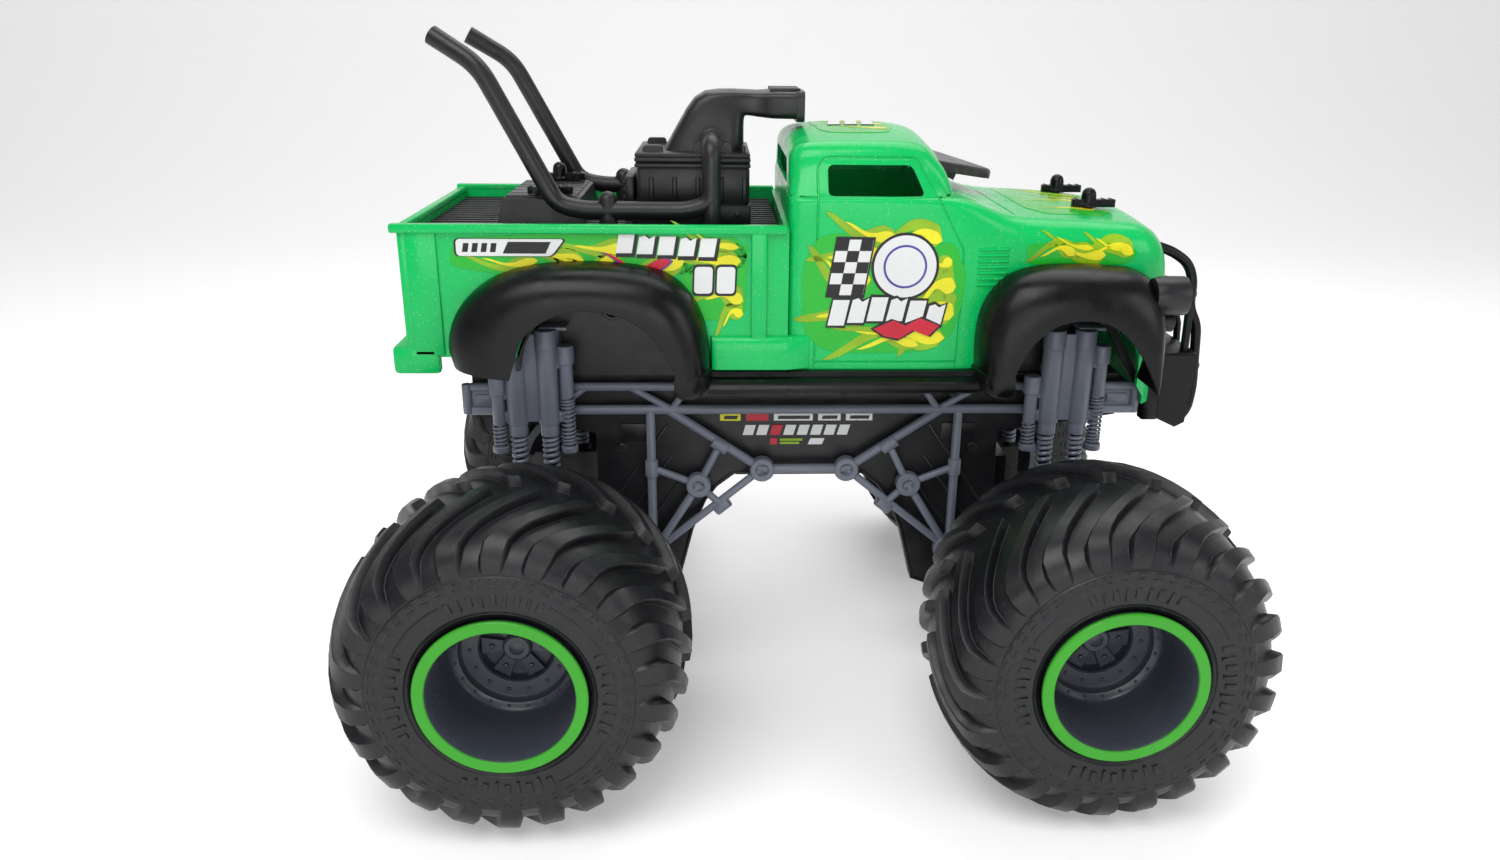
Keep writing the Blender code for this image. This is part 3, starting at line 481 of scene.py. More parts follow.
def rim_shape(driven):
    """The grey wheel: a deep smooth tub, a riveted flange and a spoked hub far inside."""
    shape = Shape()
    tub = [(0.0029, 0.0015), (0.0052, 0.0015), (0.0056, 0.001), (0.0056, -0.0015), (0.015, -0.0015), (0.0158, -0.003),
           (0.0158, -0.0062), (0.0164, -0.007), (0.0228, -0.0078), (0.0236, -0.0086), (0.024, -0.0108),
           (0.0266, -0.012), (0.0276, -0.0135), (0.0282, -0.02), (0.0288, -0.038), (0.0292, -0.0432),
           (0.0297, -0.0442), (0.0306, -0.044),
           (0.0312, -0.043), (0.0333, -0.0428), (0.0333, 0.045), (0.029, 0.045), (0.0284, 0.003), (0.02, 0.003),
           (0.0085, 0.006), (0.008, 0.03 if not driven else 0.042), (0.0029, 0.03 if not driven else 0.042)]
    shape.lathe(tub, (0, 0, 0), (0, 1, 0), 72, True)
    grid_dots(shape, 14, 0.0196, 0.0076, (0, 0, 0), 0.0009)
    grid_dots(shape, 20, 0.0253, 0.0116, (0, 0, 0), 0.0007, 0.5)
    for i in range(6):
        turn = Matrix.Rotation(2 * math.pi * i / 6, 4, "Y")
        shape.prism([(0.0052, -0.0024), (0.0152, -0.004), (0.0152, 0.004), (0.0052, 0.0024)], -0.0042, -0.0012, "Y",
                    0.0005, turn)
        shape.rod(turn @ Vector((0.0108, -0.004, 0)), turn @ Vector((0.0108, -0.0054, 0)), 0.0011, 6, 0.0002)
    shape.lathe([(0.003, -0.001), (0.0062, -0.001), (0.0062, -0.0058), (0.0052, -0.0068), (0.003, -0.0068)],
                (0, 0, 0), (0, 1, 0), 36, True)
    shape.rod((0, 0.0005, 0), (0, -0.006, 0), 0.0044, 6, 0.0005)
    return shape


def ring_shape():
    shape = Shape()
    low, high = 0.0434, 0.045
    shape.lathe([(0.0297, -low), (0.0297, -high + 0.0004), (0.0301, -high), (0.0341, -high), (0.0346, -high + 0.0005),
                 (0.0346, -low)], (0, 0, 0), (0, 1, 0), 88, True)
    return shape


def wheels():
    """Each part is built once for the right side; the left side takes its mirror image."""
    for end, along in ENDS.items():
        for label, side in LABELS.items():
            body = "rear_wheels" if end == "rear" else f"wheel_front_{label}"
            for kind, built, paint, slot in (("tyre", tyre_shape(), RUBBER, "tyre_rubber"),
                                             ("rim", rim_shape(end == "rear"), RIM_PAINTED_SHADE, "chassis_grey"),
                                             ("bead_ring", ring_shape(), RING_GREEN, "ring_green")):
                if label == "left":
                    built.mirror()
                bmesh.ops.translate(built.mesh, vec=(along * AXLE_X, side * TYRE_Y, AXLE_Z), verts=built.mesh.verts)
                built.piece(f"{kind}_{end}_{label}_look", [paint], body, [f"{kind}_{end}_{label}"], slot)


# ---------------------------------------------------------------- body shell

WALL = 0.002
REAR_ARCH = ((-0.093, 0.177), (0.037, 0.035))
FRONT_ARCH = ((0.1245, 0.173), (0.035, 0.0352))
GROOVE = 0.00055


def ellipse(centre, radii, start, end, count, power=2.0):
    """Points on an ellipse, or on a squarer curve where power is above 2, with angles in degrees."""
    points = []
    for i in range(count):
        angle = math.radians(start + (end - start) * i / (count - 1))
        c, s = math.cos(angle), math.sin(angle)
        points.append((centre[0] + radii[0] * math.copysign(abs(c) ** (2 / power), c),
                       centre[1] + radii[1] * math.copysign(abs(s) ** (2 / power), s)))
    return points


def section(half, low, top, shoulder, crown, steps=7):
    """Half of a body cross-section as (y, z) points: up the side, round the shoulder and in to the middle."""
    side = [(half - 0.0008 * (1 - t) ** 2, low + (top - shoulder - low) * t) for t in (i / steps for i in range(steps))]
    bend = ellipse((half - shoulder, top - shoulder), (shoulder, shoulder), 0, 90, steps + 1, 2.2)
    flat = half - shoulder
    over = [(flat * (1 - t), top + crown * (1 - (1 - t) ** 2)) for t in (i / steps for i in range(1, steps + 1))]
    return side + bend + over


def ring_at(x, half_ring, bow=0.0):
    """A whole cross-section at x, from its right half; bow pushes its middle forward."""
    widest = max(y for y, _ in half_ring)
    right = [(x + bow * (1 - (y / widest) ** 2), -y, z) for y, z in half_ring]
    return right + [(px, -y, z) for px, y, z in reversed(right[:-1])]


def smooth_loft(keys, steps=4):
    """A solid through key rings, with a smooth curve along each line of points."""
    lines = [curve_through([ring[i] for ring in keys], steps) for i in range(len(keys[0]))]
    shape = Shape()
    shape.loft([[line[k] for line in lines] for k in range(len(lines[0]))])
    return shape


def pushed_in(rows, i, inset, back=0.0):
    """Where row i of an inside solid goes: its ends come in by the wall, and no row passes another."""
    first, last = rows[0][0] + inset + 0.0003 * i, rows[-1][0] - inset - 0.0003 * (len(rows) - 1 - i)
    return min(max(rows[i][0] - back, first), last)


def lower_body(inset):
    """Doors, cowl, hood and nose below the belt line."""
    rows = [(-0.008, 0.0612, 0.257, 0.003, 0.0), (-0.007, 0.0638, 0.2572, 0.003, 0.0),
            (-0.0045, 0.0656, 0.2572, 0.003, 0.0), (0.001, 0.0664, 0.2572, 0.003, 0.0),
            (0.03, 0.0666, 0.2572, 0.003, 0.0), (0.06, 0.0664, 0.257, 0.004, 0.0),
            (0.072, 0.0658, 0.2556, 0.007, 0.0004), (0.082, 0.0648, 0.252, 0.009, 0.0014),
            (0.092, 0.0638, 0.2486, 0.011, 0.0022), (0.105, 0.063, 0.247, 0.012, 0.0028),
            (0.125, 0.062, 0.2462, 0.0125, 0.0028), (0.144, 0.0608, 0.245, 0.013, 0.0026)]
    nose = [(0.149 + 0.024 * math.sin(a), 0.0265 * (1 - math.cos(a))) for a in
            (math.radians(d) for d in (8, 22, 36, 50, 62, 72, 80, 86, 90))]
    rows += [(x, 0.0602 - back * 0.85, 0.2444 - back * 0.95, 0.0135, 0.0024) for x, back in nose]
    keys = []
    for i, (x, half, top, shoulder, crown) in enumerate(rows):
        low = 0.14 if inset else (SILL_Z if x < 0.1445 else 0.158)
        if inset:
            x = pushed_in(rows, i, inset, inset if x > 0.15 else 0.0)
        keys.append(ring_at(x, section(half - inset, low, top - inset, shoulder, crown)))
    return smooth_loft(keys, 3)


def greenhouse(inset):
    """Roof, pillars and windshield, down to a little under the belt line."""
    rows = [(-0.0079, 0.059, 0.05, 0.27), (-0.0072, 0.0618, 0.0535, 0.2745), (-0.0045, 0.064, 0.056, 0.2776),
            (0.001, 0.0652, 0.0574, 0.2793), (0.01, 0.0656, 0.0578, 0.2799), (0.03, 0.0656, 0.058, 0.2802),
            (0.044, 0.0652, 0.0576, 0.2799), (0.051, 0.0646, 0.0572, 0.2784), (0.055, 0.064, 0.0568, 0.2752),
            (0.0606, 0.063, 0.0566, 0.2688), (0.0634, 0.0622, 0.0562, 0.263), (0.0654, 0.0612, 0.0556, 0.2575),
            (0.0672, 0.0602, 0.055, 0.252)]
    keys = []
    for i, (x, belt, top_half, top) in enumerate(rows):
        belt, top_half, top = belt - inset, top_half - inset, top - inset
        bend = min(0.009, (top - 0.248) * 0.45)
        line = BELT_Z if top - bend >= 0.258 else (0.248 + top - bend) / 2
        side = [(belt, 0.24 if inset else 0.248), (belt, line)]
        side += [(belt + (top_half - belt) * t, line + (top - bend - line) * t) for t in (0.25, 0.5, 0.75)]
        arch = ellipse((top_half - bend, top - bend), (bend, bend), 0, 90, 8, 2.1)
        over = [((top_half - bend) * (1 - t), top + 0.0036 * (1 - (1 - t) ** 2)) for t in (0.2, 0.4, 0.6, 0.8, 1.0)]
        if inset:
            x = pushed_in(rows, i, inset)
        keys.append(ring_at(x, side + arch + over, 0.0045 * max(0.0, min(1.0, (x - 0.04) / 0.03))))
    return smooth_loft(keys, 3)


def cutter(outline, low, high, axis="Y"):
    shape = Shape()
    shape.prism(outline, low, high, axis, bevel=0)
    return shape.object("cutter", [])


def block(low, high, radius=0.0):
    shape = Shape()
    shape.box(low, high, radius)
    return shape.object("block", [])


def on_surface(tree, points, aim):
    """Points moved along aim until they meet the surface."""
    aim, made = Vector(aim), []
    for point in points:
        hit = tree.ray_cast(Vector(point) - aim * 0.2, aim)[0]
        made.append(hit if hit else Vector(point))
    return made


def dense(path, step=0.004):
    """A path with points added along its straight stretches."""
    path, made = [Vector(p) for p in path], []
    for start, end in zip(path, path[1:]):
        count = max(1, int((end - start).length / step))
        made += [start.lerp(end, k / count) for k in range(count)]
    return made + [path[-1]]


def side_line(points):
    """An (x, z) path for a groove in the right side."""
    return dense([(x, -DOOR_Y, z) for x, z in points])


def panel_lines(tree):
    """The grooves between doors, cowl and hood, as thin bars to cut away. Side grooves come in pairs."""
    sides = [rounded(side_line([(0.0045, 0.18), (0.0045, 0.269), (0.0075, 0.2735), (0.048, 0.2735),
                                (0.056, 0.26), (0.064, 0.245), (0.0702, 0.234), (0.0705, 0.209),
                                (0.07, 0.18)]), 0.003, 3),
             side_line([(-0.0075, 0.2571), (0.004, 0.2571)]), side_line([(0.0585, 0.2571), (0.069, 0.2571)]),
             side_line([(0.005, 0.1825), (0.0695, 0.1825)])]
    lines = []
    for points in sides:
        traced = on_surface(tree, points, (0, 1, 0))
        lines += [traced, [Vector((p.x, -p.y, p.z)) for p in traced]]
    cowl = [(0.09 + 0.005 * (y / 0.05) ** 2, y, 0.25) for y in (i * 0.004 - 0.052 for i in range(27))]
    lines.append(on_surface(tree, cowl, (0, 0, -1)))
    for y in (-0.015, 0.015):
        crease = [(x, y * (1.0 + (0.16 - x) * 6), 0.25) for x in (0.098 + 0.003 * i for i in range(18))]
        lines.append(on_surface(tree, crease, (0, 0, -1)))
    cutters = []
    for line in lines:
        shape = Shape()
        shape.sweep(line, GROOVE, 6)
        cutters.append(shape.object("groove", []))
    return cutters


def shell_solid():
    """The hollow body: outside solids joined, inside ones and openings cut away, then its panel lines."""
    bed = block((-0.178, -SIDE_Y, SILL_Z), (-0.0078, SIDE_Y, 0.2435))
    step = block((-0.185, -0.0672, 0.177), (-0.164, 0.0672, 0.19), 0.0022)
    outer = boolean(lower_body(0.0).object("body", []), [greenhouse(0.0).object("roof", []), bed, step], "UNION")
    tree = BVHTree.FromObject(outer, bpy.context.evaluated_depsgraph_get())
    holes = [block((-0.1762, WALL - SIDE_Y, 0.15), (-0.0098, SIDE_Y - WALL, 0.3)),
             lower_body(WALL).object("inner", []), greenhouse(WALL).object("inner_roof", [])]
    window = soft_outline([(0.009, 0.2574), (0.052, 0.2574), (0.0463, 0.2703), (0.009, 0.2703)], 0.0028, 5)
    holes.append(cutter(window, -0.1, 0.1))
    rear = soft_outline([(-0.042, 0.26), (0.042, 0.26), (0.038, 0.271), (-0.038, 0.271)], 0.003, 4)
    holes.append(cutter(rear, -0.015, 0.004, "X"))
    for side in (-1, 1):
        glass = soft_outline([(side * 0.0025, 0.26), (side * 0.049, 0.2592), (side * 0.045, 0.272),
                              (side * 0.0025, 0.2735)], 0.003, 4)
        holes.append(cutter(glass, 0.052, 0.095, "X"))
    for centre, radii in (REAR_ARCH, FRONT_ARCH):
        top = ellipse(centre, radii, 0, 180, 40)
        holes.append(cutter(top + [(top[-1][0], 0.12), (top[0][0], 0.12)], -0.1, 0.1))
    holes.append(cutter([(0.143, 0.13), (0.143, 0.19), (0.164, 0.162), (0.164, 0.13)], -0.1, 0.1))
    holes.append(cutter([(-0.164, 0.13), (-0.164, 0.185), (-0.129, 0.185), (-0.129, 0.13)], -0.1, 0.1))
    grille = soft_outline([(-0.031, 0.188), (0.031, 0.188), (0.027, 0.213), (-0.027, 0.213)], 0.005, 5)
    holes.append(cutter(grille, 0.165, 0.19, "X"))
    return boolean(outer, holes + panel_lines(tree), "DIFFERENCE"), tree


def shell_trim():
    """Rail lips, posts, stake ribs, sill bulges, louvres and the tailgate's pressings, which are proud of the shell."""
    shape = Shape()
    for side in (-1, 1):
        shape.box((-0.181, side * 0.064, 0.241), (-0.0085, side * 0.0686, 0.245), 0.001)
        shape.box((-0.1745, side * 0.0655, 0.186), (-0.1615, side * 0.0672, 0.243), 0.0006)
        shape.box((-0.178, side * 0.0655, 0.179), (-0.1735, side * 0.0668, 0.243), 0.0005)
        shape.box((-0.0245, side * 0.0655, 0.1935), (-0.0175, side * 0.0682, 0.242), 0.0006)
        bulge = ellipse((0.0, 0.18), (0.004, 0.015), 0, 90, 8, 3.0)
        rings = []
        for x, share in ((-0.043, 0.0), (-0.042, 0.8), (-0.04, 1.0), (-0.008, 1.0), (-0.003, 0.6), (0.002, 0.1)):
            rings.append([(x, side * (0.065 + y * share + 0.001), z) for y, z in bulge]
                         + [(x, side * 0.064, bulge[-1][1]), (x, side * 0.064, 0.18)])
        shape.loft(rings)
        for i in range(7):
            z = 0.2185 + 0.00265 * i
            shape.sweep([(0.0765, side * 0.064, z), (0.0775, side * 0.0652, z), (0.0905, side * 0.064, z),
                         (0.0915, side * 0.0628, z)], 0.00085, 8)
    shape.box((-0.1795, -0.064, 0.2405), (-0.1755, 0.064, 0.244), 0.001)
    for low, high in ((-0.06, -0.056), (0.056, 0.06)):
        shape.box((-0.1792, low, 0.192), (-0.177, high, 0.24), 0.0006)
    for z in (0.2, 0.23):
        shape.box((-0.1792, -0.056, z), (-0.177, 0.056, z + 0.003), 0.0006)
    for side in (-1, 1):
        lamp = soft_outline([(side * 0.05, 0.204), (side * 0.038, 0.204), (side * 0.038, 0.226),
                             (side * 0.05, 0.226)], 0.003, 4)
        shape.prism(lamp, -0.1788, -0.1772, "X", 0.0004)
    return shape


def body_shell():
    """The shell, its trim and the grille; returns the outside surface, for what is laid on it."""
    shell, tree = shell_solid()
    shell.name = shell.data.name = "body_shell_look"
    shell.data.materials.clear()
    shell.data.materials.append(GREEN)
    for polygon in shell.data.polygons:
        polygon.material_index = 0
    fitted(smoothed(shell), "chassis", ["body_shell"])
    shell_trim().piece("body_trim", [GREEN], "chassis", slot="body_green")
    grille = Shape()
    for i in range(13):
        y = -0.027 + 0.0045 * i
        grille.box((0.1683, y - 0.0009, 0.1875), (0.1707, y + 0.0009, 0.214), 0.0004)
    grille.box((0.1665, -0.033, 0.185), (0.1687, 0.033, 0.2155), 0.0005)
    grille.piece("grille", [BLACK], "chassis", slot="black_plastic")
    return tree


# ---------------------------------------------------------------- fenders

REAR_FENDER = [((-0.157, 0.1835), (-0.13, 0.1805)), ((-0.1588, 0.1925), (-0.1272, 0.1895)),
               ((-0.156, 0.2035), (-0.1238, 0.198)), ((-0.149, 0.2135), (-0.118, 0.204)),
               ((-0.137, 0.2222), (-0.111, 0.2082)), ((-0.12, 0.2274), (-0.1025, 0.211)),
               ((-0.1, 0.229), (-0.093, 0.2113)), ((-0.08, 0.2282), (-0.082, 0.209)),
               ((-0.064, 0.225), (-0.0728, 0.2042)), ((-0.053, 0.2168), (-0.0662, 0.1976)),
               ((-0.0462, 0.2048), (-0.0618, 0.1905)), ((-0.0434, 0.192), (-0.059, 0.1845)),
               ((-0.0429, 0.1808), (-0.0577, 0.18))]
FRONT_FENDER = [((0.0784, 0.1808), (0.0918, 0.18)), ((0.0778, 0.193), (0.093, 0.185)),
                ((0.0788, 0.205), (0.096, 0.1915)), ((0.0832, 0.2155), (0.1008, 0.1984)),
                ((0.092, 0.224), (0.1075, 0.204)), ((0.105, 0.2278), (0.115, 0.2067)),
                ((0.12, 0.2286), (0.1225, 0.2072)), ((0.135, 0.228), (0.131, 0.2058)),
                ((0.148, 0.2262), (0.1388, 0.2015)), ((0.1575, 0.2205), (0.145, 0.1955)),
                ((0.1622, 0.21), (0.15, 0.1885)), ((0.1628, 0.197), (0.154, 0.1815)),
                ((0.1612, 0.184), (0.1568, 0.176)), ((0.1592, 0.1745), (0.1578, 0.1725))]


def squared(turn, power):
    """The cosine and sine of an angle up to 90 degrees, bent towards a square corner where power is above 2."""
    turn = math.radians(turn)
    return abs(math.cos(turn)) ** (2 / power), math.sin(turn) ** (2 / power)


def fender_skin(shape, keys):
    """A round-shouldered shell between a curve on the body and the curve of the wheel opening."""
    outer = curve_through([(x, 0, z) for (x, z), _ in keys], 4)
    inner = curve_through([(x, 0, z) for _, (x, z) in keys], 4)
    rings = []
    for start, end in zip(outer, inner):
        near = start + (end - start).normalized() * 0.0018
        root = 0.066 - max(0.0, start.x - 0.14) * 0.35
        skin, lining = [], []
        for turn in range(0, 91, 6):
            c, s = squared(turn, 2.6)
            skin.append(start + (end - start) * (1 - c) - Vector((0, root + (0.088 - root) * s, 0)))
            lining.append(near + (end - near) * (1 - c) - Vector((0, root + (0.086 - root) * s, 0)))
        rings.append(skin + lining[::-1])
    shape.loft(rings)


def fender_cap(shape, x_out, x_in):
    """The cap under a fender's foot, where the running board meets it."""
    rings = []
    for z, grow, reach in ((0.1812, 0.0007, 0.0229), (0.18, 0.0009, 0.0231), (0.1765, 0.0009, 0.0231),
                           (0.1735, 0.0002, 0.0222), (0.1712, -0.0014, 0.0206), (0.1701, -0.0028, 0.0188)):
        sign = 1 if x_in > x_out else -1
        first, last = x_out - sign * grow, x_in + sign * grow
        ring = [(last, -0.065, z)]
        for turn in range(0, 91, 9):
            c, s = squared(turn, 2.8)
            ring.append((first + (last - first) * (1 - c), -0.065 - reach * s, z))
        rings.append(ring)
    shape.loft(rings)


def fender():
    """Both fenders, their end caps and the running board between them, with its three feet."""
    shape = Shape()
    fender_skin(shape, REAR_FENDER)
    fender_skin(shape, FRONT_FENDER)
    fender_cap(shape, -0.0429, -0.0577)
    fender_cap(shape, 0.0784, 0.0918)
    board = [(-0.0655, 0.179), (-0.0688, 0.1788), (-0.0696, 0.1768), (-0.0735, 0.176), (-0.076, 0.1746),
             (-0.077, 0.1728), (-0.0764, 0.171), (-0.0745, 0.17), (-0.0655, 0.17)]
    shape.prism(board, -0.044, 0.0795, "X", 0.0002)
    for x in (-0.033, 0.018, 0.068):
        shape.prism([(x - 0.0012, 0.17), (x + 0.0012, 0.17), (x + 0.0012, 0.1685), (x - 0.0012, 0.1685)],
                    -0.074, -0.066, "Y", 0.0003)
    return shape


# ---------------------------------------------------------------- bed, engine and exhausts

def bed_floor():
    """The ribbed black liner with the raised box that carries the tail latches."""
    shape = Shape()
    shape.box((-0.1755, -0.0636, FLOOR_Z - 0.0022), (-0.0105, 0.0636, FLOOR_Z - 0.0007), 0.0003)
    for i in range(-9, 10):
        y = 0.0066 * i
        shape.box((-0.175, y - 0.0024, FLOOR_Z - 0.0014), (-0.011, y + 0.0024, FLOOR_Z), 0.0005)
        shape.box((-0.1748, y - 0.0012, FLOOR_Z - 0.0006), (-0.0112, y + 0.0012, FLOOR_Z + 0.0011), 0.0004)
    low, high = FLOOR_Z - 0.0008, 0.252
    rings = []
    for lean, z in ((0.0, low), (0.0027, high - 0.0014), (0.0036, high - 0.0007)):
        rings.append([(x, y, z) for x, y in ((-0.1415 + lean, lean - 0.033), (-0.1005 - lean, lean - 0.033),
                                             (-0.1005 - lean, 0.033 - lean), (-0.1415 + lean, 0.033 - lean))])
    shape.loft(rings)
    for i in range(6):
        y = -0.0245 + 0.0098 * i
        shape.box((-0.1372, y - 0.0044, high - 0.002), (-0.1048, y + 0.0044, high), 0.0004)
    for y in (-0.026, 0.026):
        shape.lathe([(0.0024, high - 0.001), (0.0052, high - 0.001), (0.0052, high + 0.0001), (0.0046, high + 0.0003),
                     (0.0024, high + 0.0003)], (-0.1195, y, 0), (0, 0, 1), 28, True)
    shape.piece("bed_floor_look", [BLACK], "chassis", ["bed_floor"], "black_plastic")


def engine():
    """A plain block under stacked plates, with fins, a hose flange on each side and a grille behind."""
    low = FLOOR_Z + 0.0004
    shape = Shape()
    shape.box((-0.0795, -0.0302, low), (-0.0238, 0.0302, 0.2482), 0.001)
    shape.box((-0.0768, -0.029, 0.247), (-0.0244, 0.029, 0.2662), 0.0022)
    for z, inset in ((0.2652, 0.0), (0.2672, 0.0005), (0.2678, 0.0), (0.2694, 0.0005), (0.2699, 0.0002)):
        shape.box((-0.0776 + inset, inset - 0.0302, z), (-0.024 - inset, 0.0302 - inset, z + 0.0018), 0.0006)
    shape.box((-0.0765, -0.029, 0.266), (-0.025, 0.029, 0.2712), 0.0008)
    for side in (-1, 1):
        for i in range(5):
            x = -0.07 + 0.0108 * i
            shape.box((x - 0.001, side * 0.028, 0.2492), (x + 0.001, side * 0.0301, 0.261), 0.0006)
        flange = [(-0.0505, 0.27), (-0.05, 0.2765), (-0.033, 0.2765), (-0.0325, 0.27)]
        shape.prism(soft_outline(flange, 0.0022, 5, False), side * 0.0235, side * 0.0262, "Y", 0.0005)
        tab = [(-0.0745, 0.27), (-0.074, 0.2745), (-0.065, 0.2745), (-0.0645, 0.27)]
        shape.prism(soft_outline(tab, 0.0016, 5, False), side * 0.018, side * 0.0215, "Y", 0.0005)
        shape.box((-0.0282, side * 0.017, 0.27), (-0.0262, side * 0.025, 0.2748), 0.0005)
        for x in (-0.072, -0.03):
            shape.rod((x, side * 0.0301, 0.244), (x, side * 0.0309, 0.244), 0.0014, 12, 0.0003)
    shape.box((-0.0832, -0.02, low), (-0.0785, 0.02, 0.26), 0.0012)
    for i in range(5):
        z = 0.2415 + 0.0036 * i
        shape.box((-0.0838, -0.0185, z), (-0.0828, 0.0185, z + 0.0016), 0.0004)
    shape.piece("engine_look", [BLACK], "chassis", ["engine_block"], "black_plastic")


def air_scoop():
    """The scoop's duct as one loft along its bend, widening at the mouth, which is hollow."""
    low = 0.2704
    stations = [((-0.0655, low), (-0.0268, low), 0.0185), ((-0.0622, 0.2762), (-0.0268, 0.273), 0.0182),
                ((-0.058, 0.2835), (-0.0268, 0.2775), 0.0178), ((-0.054, 0.2902), (-0.0268, 0.282), 0.0172),
                ((-0.0503, 0.295), (-0.0267, 0.2845), 0.0166), ((-0.0455, 0.2979), (-0.0266, 0.2862), 0.016),
                ((-0.039, 0.2989), (-0.0262, 0.2872), 0.0154), ((-0.032, 0.299), (-0.0254, 0.2875), 0.0148),
                ((-0.025, 0.2988), (-0.024, 0.2873), 0.0142), ((-0.0205, 0.2986), (-0.0205, 0.2868), 0.0142),
                ((-0.0165, 0.2988), (-0.0165, 0.2864), 0.0158), ((-0.0125, 0.2992), (-0.0125, 0.2861), 0.0172),
                ((-0.002, 0.2992), (-0.002, 0.286), 0.0174)]
    rings = []
    for (x1, z1), (x2, z2), half in stations:
        first, last, ring = Vector((x1, 0, z1)), Vector((x2, 0, z2)), []
        for i in range(40):
            angle = 2 * math.pi * (i + 0.5) / 40
            c, s = math.cos(angle), math.sin(angle)
            across = math.copysign(abs(c) ** 0.36, c) * half
            along = 0.5 + 0.5 * math.copysign(abs(s) ** 0.36, s)
            ring.append(last.lerp(first, along) + Vector((0, across, 0)))
        rings.append(ring)
    shape = Shape()
    shape.loft(rings)
    duct = shape.object("air_scoop_look", [BLACK])
    boolean(duct, [block((-0.016, -0.015, 0.2876), (0.01, 0.015, 0.2978), 0.0015)], "DIFFERENCE")
    fitted(smoothed(duct, 35), "chassis", ["air_scoop"])
    lip = Shape()
    outside = soft_outline([(-0.0172, 0.285), (0.0172, 0.285), (0.0172, 0.299), (-0.0172, 0.299)], 0.003, 5)
    inside = [(y * 0.9, 0.292 + (z - 0.292) * 0.8) for y, z in outside]
    low_x, high_x = -0.0022, 0.0016
    rings = [[(x, y, z) for y, z in ring] for x, ring in ((low_x, outside), (high_x, outside), (high_x, inside),
                                                           (low_x, inside), (low_x, outside))]
    lip.loft(rings, caps=False)
    for i in range(4):
        y = -0.0105 + 0.007 * i
        lip.box((-0.0145, y - 0.0026, 0.2985), (-0.0004, y + 0.0026, 0.3002), 0.0004)
    lip.piece("scoop_mouth", [BLACK], "chassis", slot="black_plastic")


def exhaust():
    """A stack leaning back from the bed, its run along the floor, and its riser up to the engine's flange."""
    radius, bed = 0.0042, FLOOR_Z + 0.0004
    shape = Shape()
    tip, bend = Vector((-0.1632, -0.0374, 0.322)), Vector((-0.1429, -0.0424, 0.3096))
    back = (tip - bend).normalized()
    path = [tip - back * 0.0079, bend, (-0.1118, -0.0443, 0.2505), (-0.1, -0.0448, 0.2478), (-0.053, -0.045, 0.2478),
            (-0.042, -0.045, 0.251), (-0.042, -0.045, 0.2768), (-0.042, -0.031, 0.2776)]
    shape.sweep(rounded(path, 0.0085, 8), radius, 20)
    shape.lathe([(radius, -0.0081), (radius + 0.0001, -0.0002), (radius - 0.0003, 0.0), (radius - 0.0008, -0.0002),
                 (radius - 0.001, -0.0081)], tip, back, 28, True)
    shape.rod((-0.042, -0.045, bed), (-0.042, -0.045, 0.256), radius - 0.0001, 20)
    shape.lathe([(0, 0), (radius, 0), (radius, 0.0141), (radius * 0.87, 0.0162), (radius * 0.5, 0.0177), (0, 0.0183)],
                (-0.0888, -0.0448, bed), (0, 0, 1), 28)
    shape.lathe([(0.003, -0.0004), (0.0055, -0.0004), (0.0055, 0.0006), (0.0048, 0.001), (0.003, 0.001)],
                (-0.042, -0.0302, 0.2776), (0, -1, 0), 28, True)
    web = [(-0.101, 0.2495), (-0.0935, 0.2515), (-0.0905, 0.254), (-0.0888, 0.254), (-0.0888, 0.244), (-0.101, 0.244)]
    shape.prism(web, -0.047, -0.0426, "Y", 0.0006)
    return shape


# ---------------------------------------------------------------- visor, lamps, bumper and latches

def visor():
    """A sloping V-shaped peak over the windshield, with two brackets under it."""
    shape, rings, thick = Shape(), [], 0.0034
    for i in range(-26, 27):
        y = 0.052 * i / 26
        away = (math.hypot(y, 0.004) - 0.004) / 0.0482
        front, rear = 0.0955 - 0.0375 * away, 0.065 - 0.01 * away ** 1.5
        ring = []
        for x, lift in ((rear, 0.0006), (rear, thick - 0.0006), (rear + 0.0006, thick), (front - 0.001, thick),
                        (front - 0.0002, thick - 0.0006), (front, thick - 0.0016), (front - 0.0004, -0.0012),
                        (front - 0.0018, -0.0014), (front - 0.0024, 0.0), (rear + 0.0006, 0.0)):
            ring.append((x, y, 0.2692 - 0.255 * (x - 0.0555) + lift))
        rings.append(ring)
    shape.loft(rings)
    for side in (-1, 1):
        shape.prism([(0.06, 0.269), (0.072, 0.266), (0.07, 0.261), (0.064, 0.264)],
                    side * 0.03, side * 0.034, "Y", 0.0006)
    shape.piece("visor_look", [TRIM], "chassis", ["visor"], "trim_black")


def headlight():
    """A can with a lens on the fender's front, on a block, with a small lamp below it."""
    shape = Shape()
    centre = (-0.0055, -0.0745, 0.2158)
    shape.lathe([(0, 0.16), (0.0078, 0.16), (0.0086, 0.163), (0.0088, 0.166), (0.0088, 0.1738), (0.0085, 0.1748),
                 (0.008, 0.175), (0.0076, 0.1744), (0.0074, 0.1722), (0, 0.1716)], centre, (1, 0, 0), 48)
    shape.box((0.16, -0.079, 0.208), (0.166, -0.064, 0.2215), 0.002)
    shape.lathe([(0, 0.1615), (0.004, 0.1618), (0.0045, 0.164), (0.0045, 0.169), (0.0038, 0.1694), (0, 0.1696)],
                (-0.003, -0.0715, 0.203), (1, 0, 0), 36)
    shape.paint = 1
    shape.lathe([(0, 0.1718), (0.007, 0.1719), (0.0072, 0.1728), (0.0052, 0.1738), (0.0026, 0.1743), (0, 0.1744)],
                centre, (1, 0, 0), 40)
    return shape


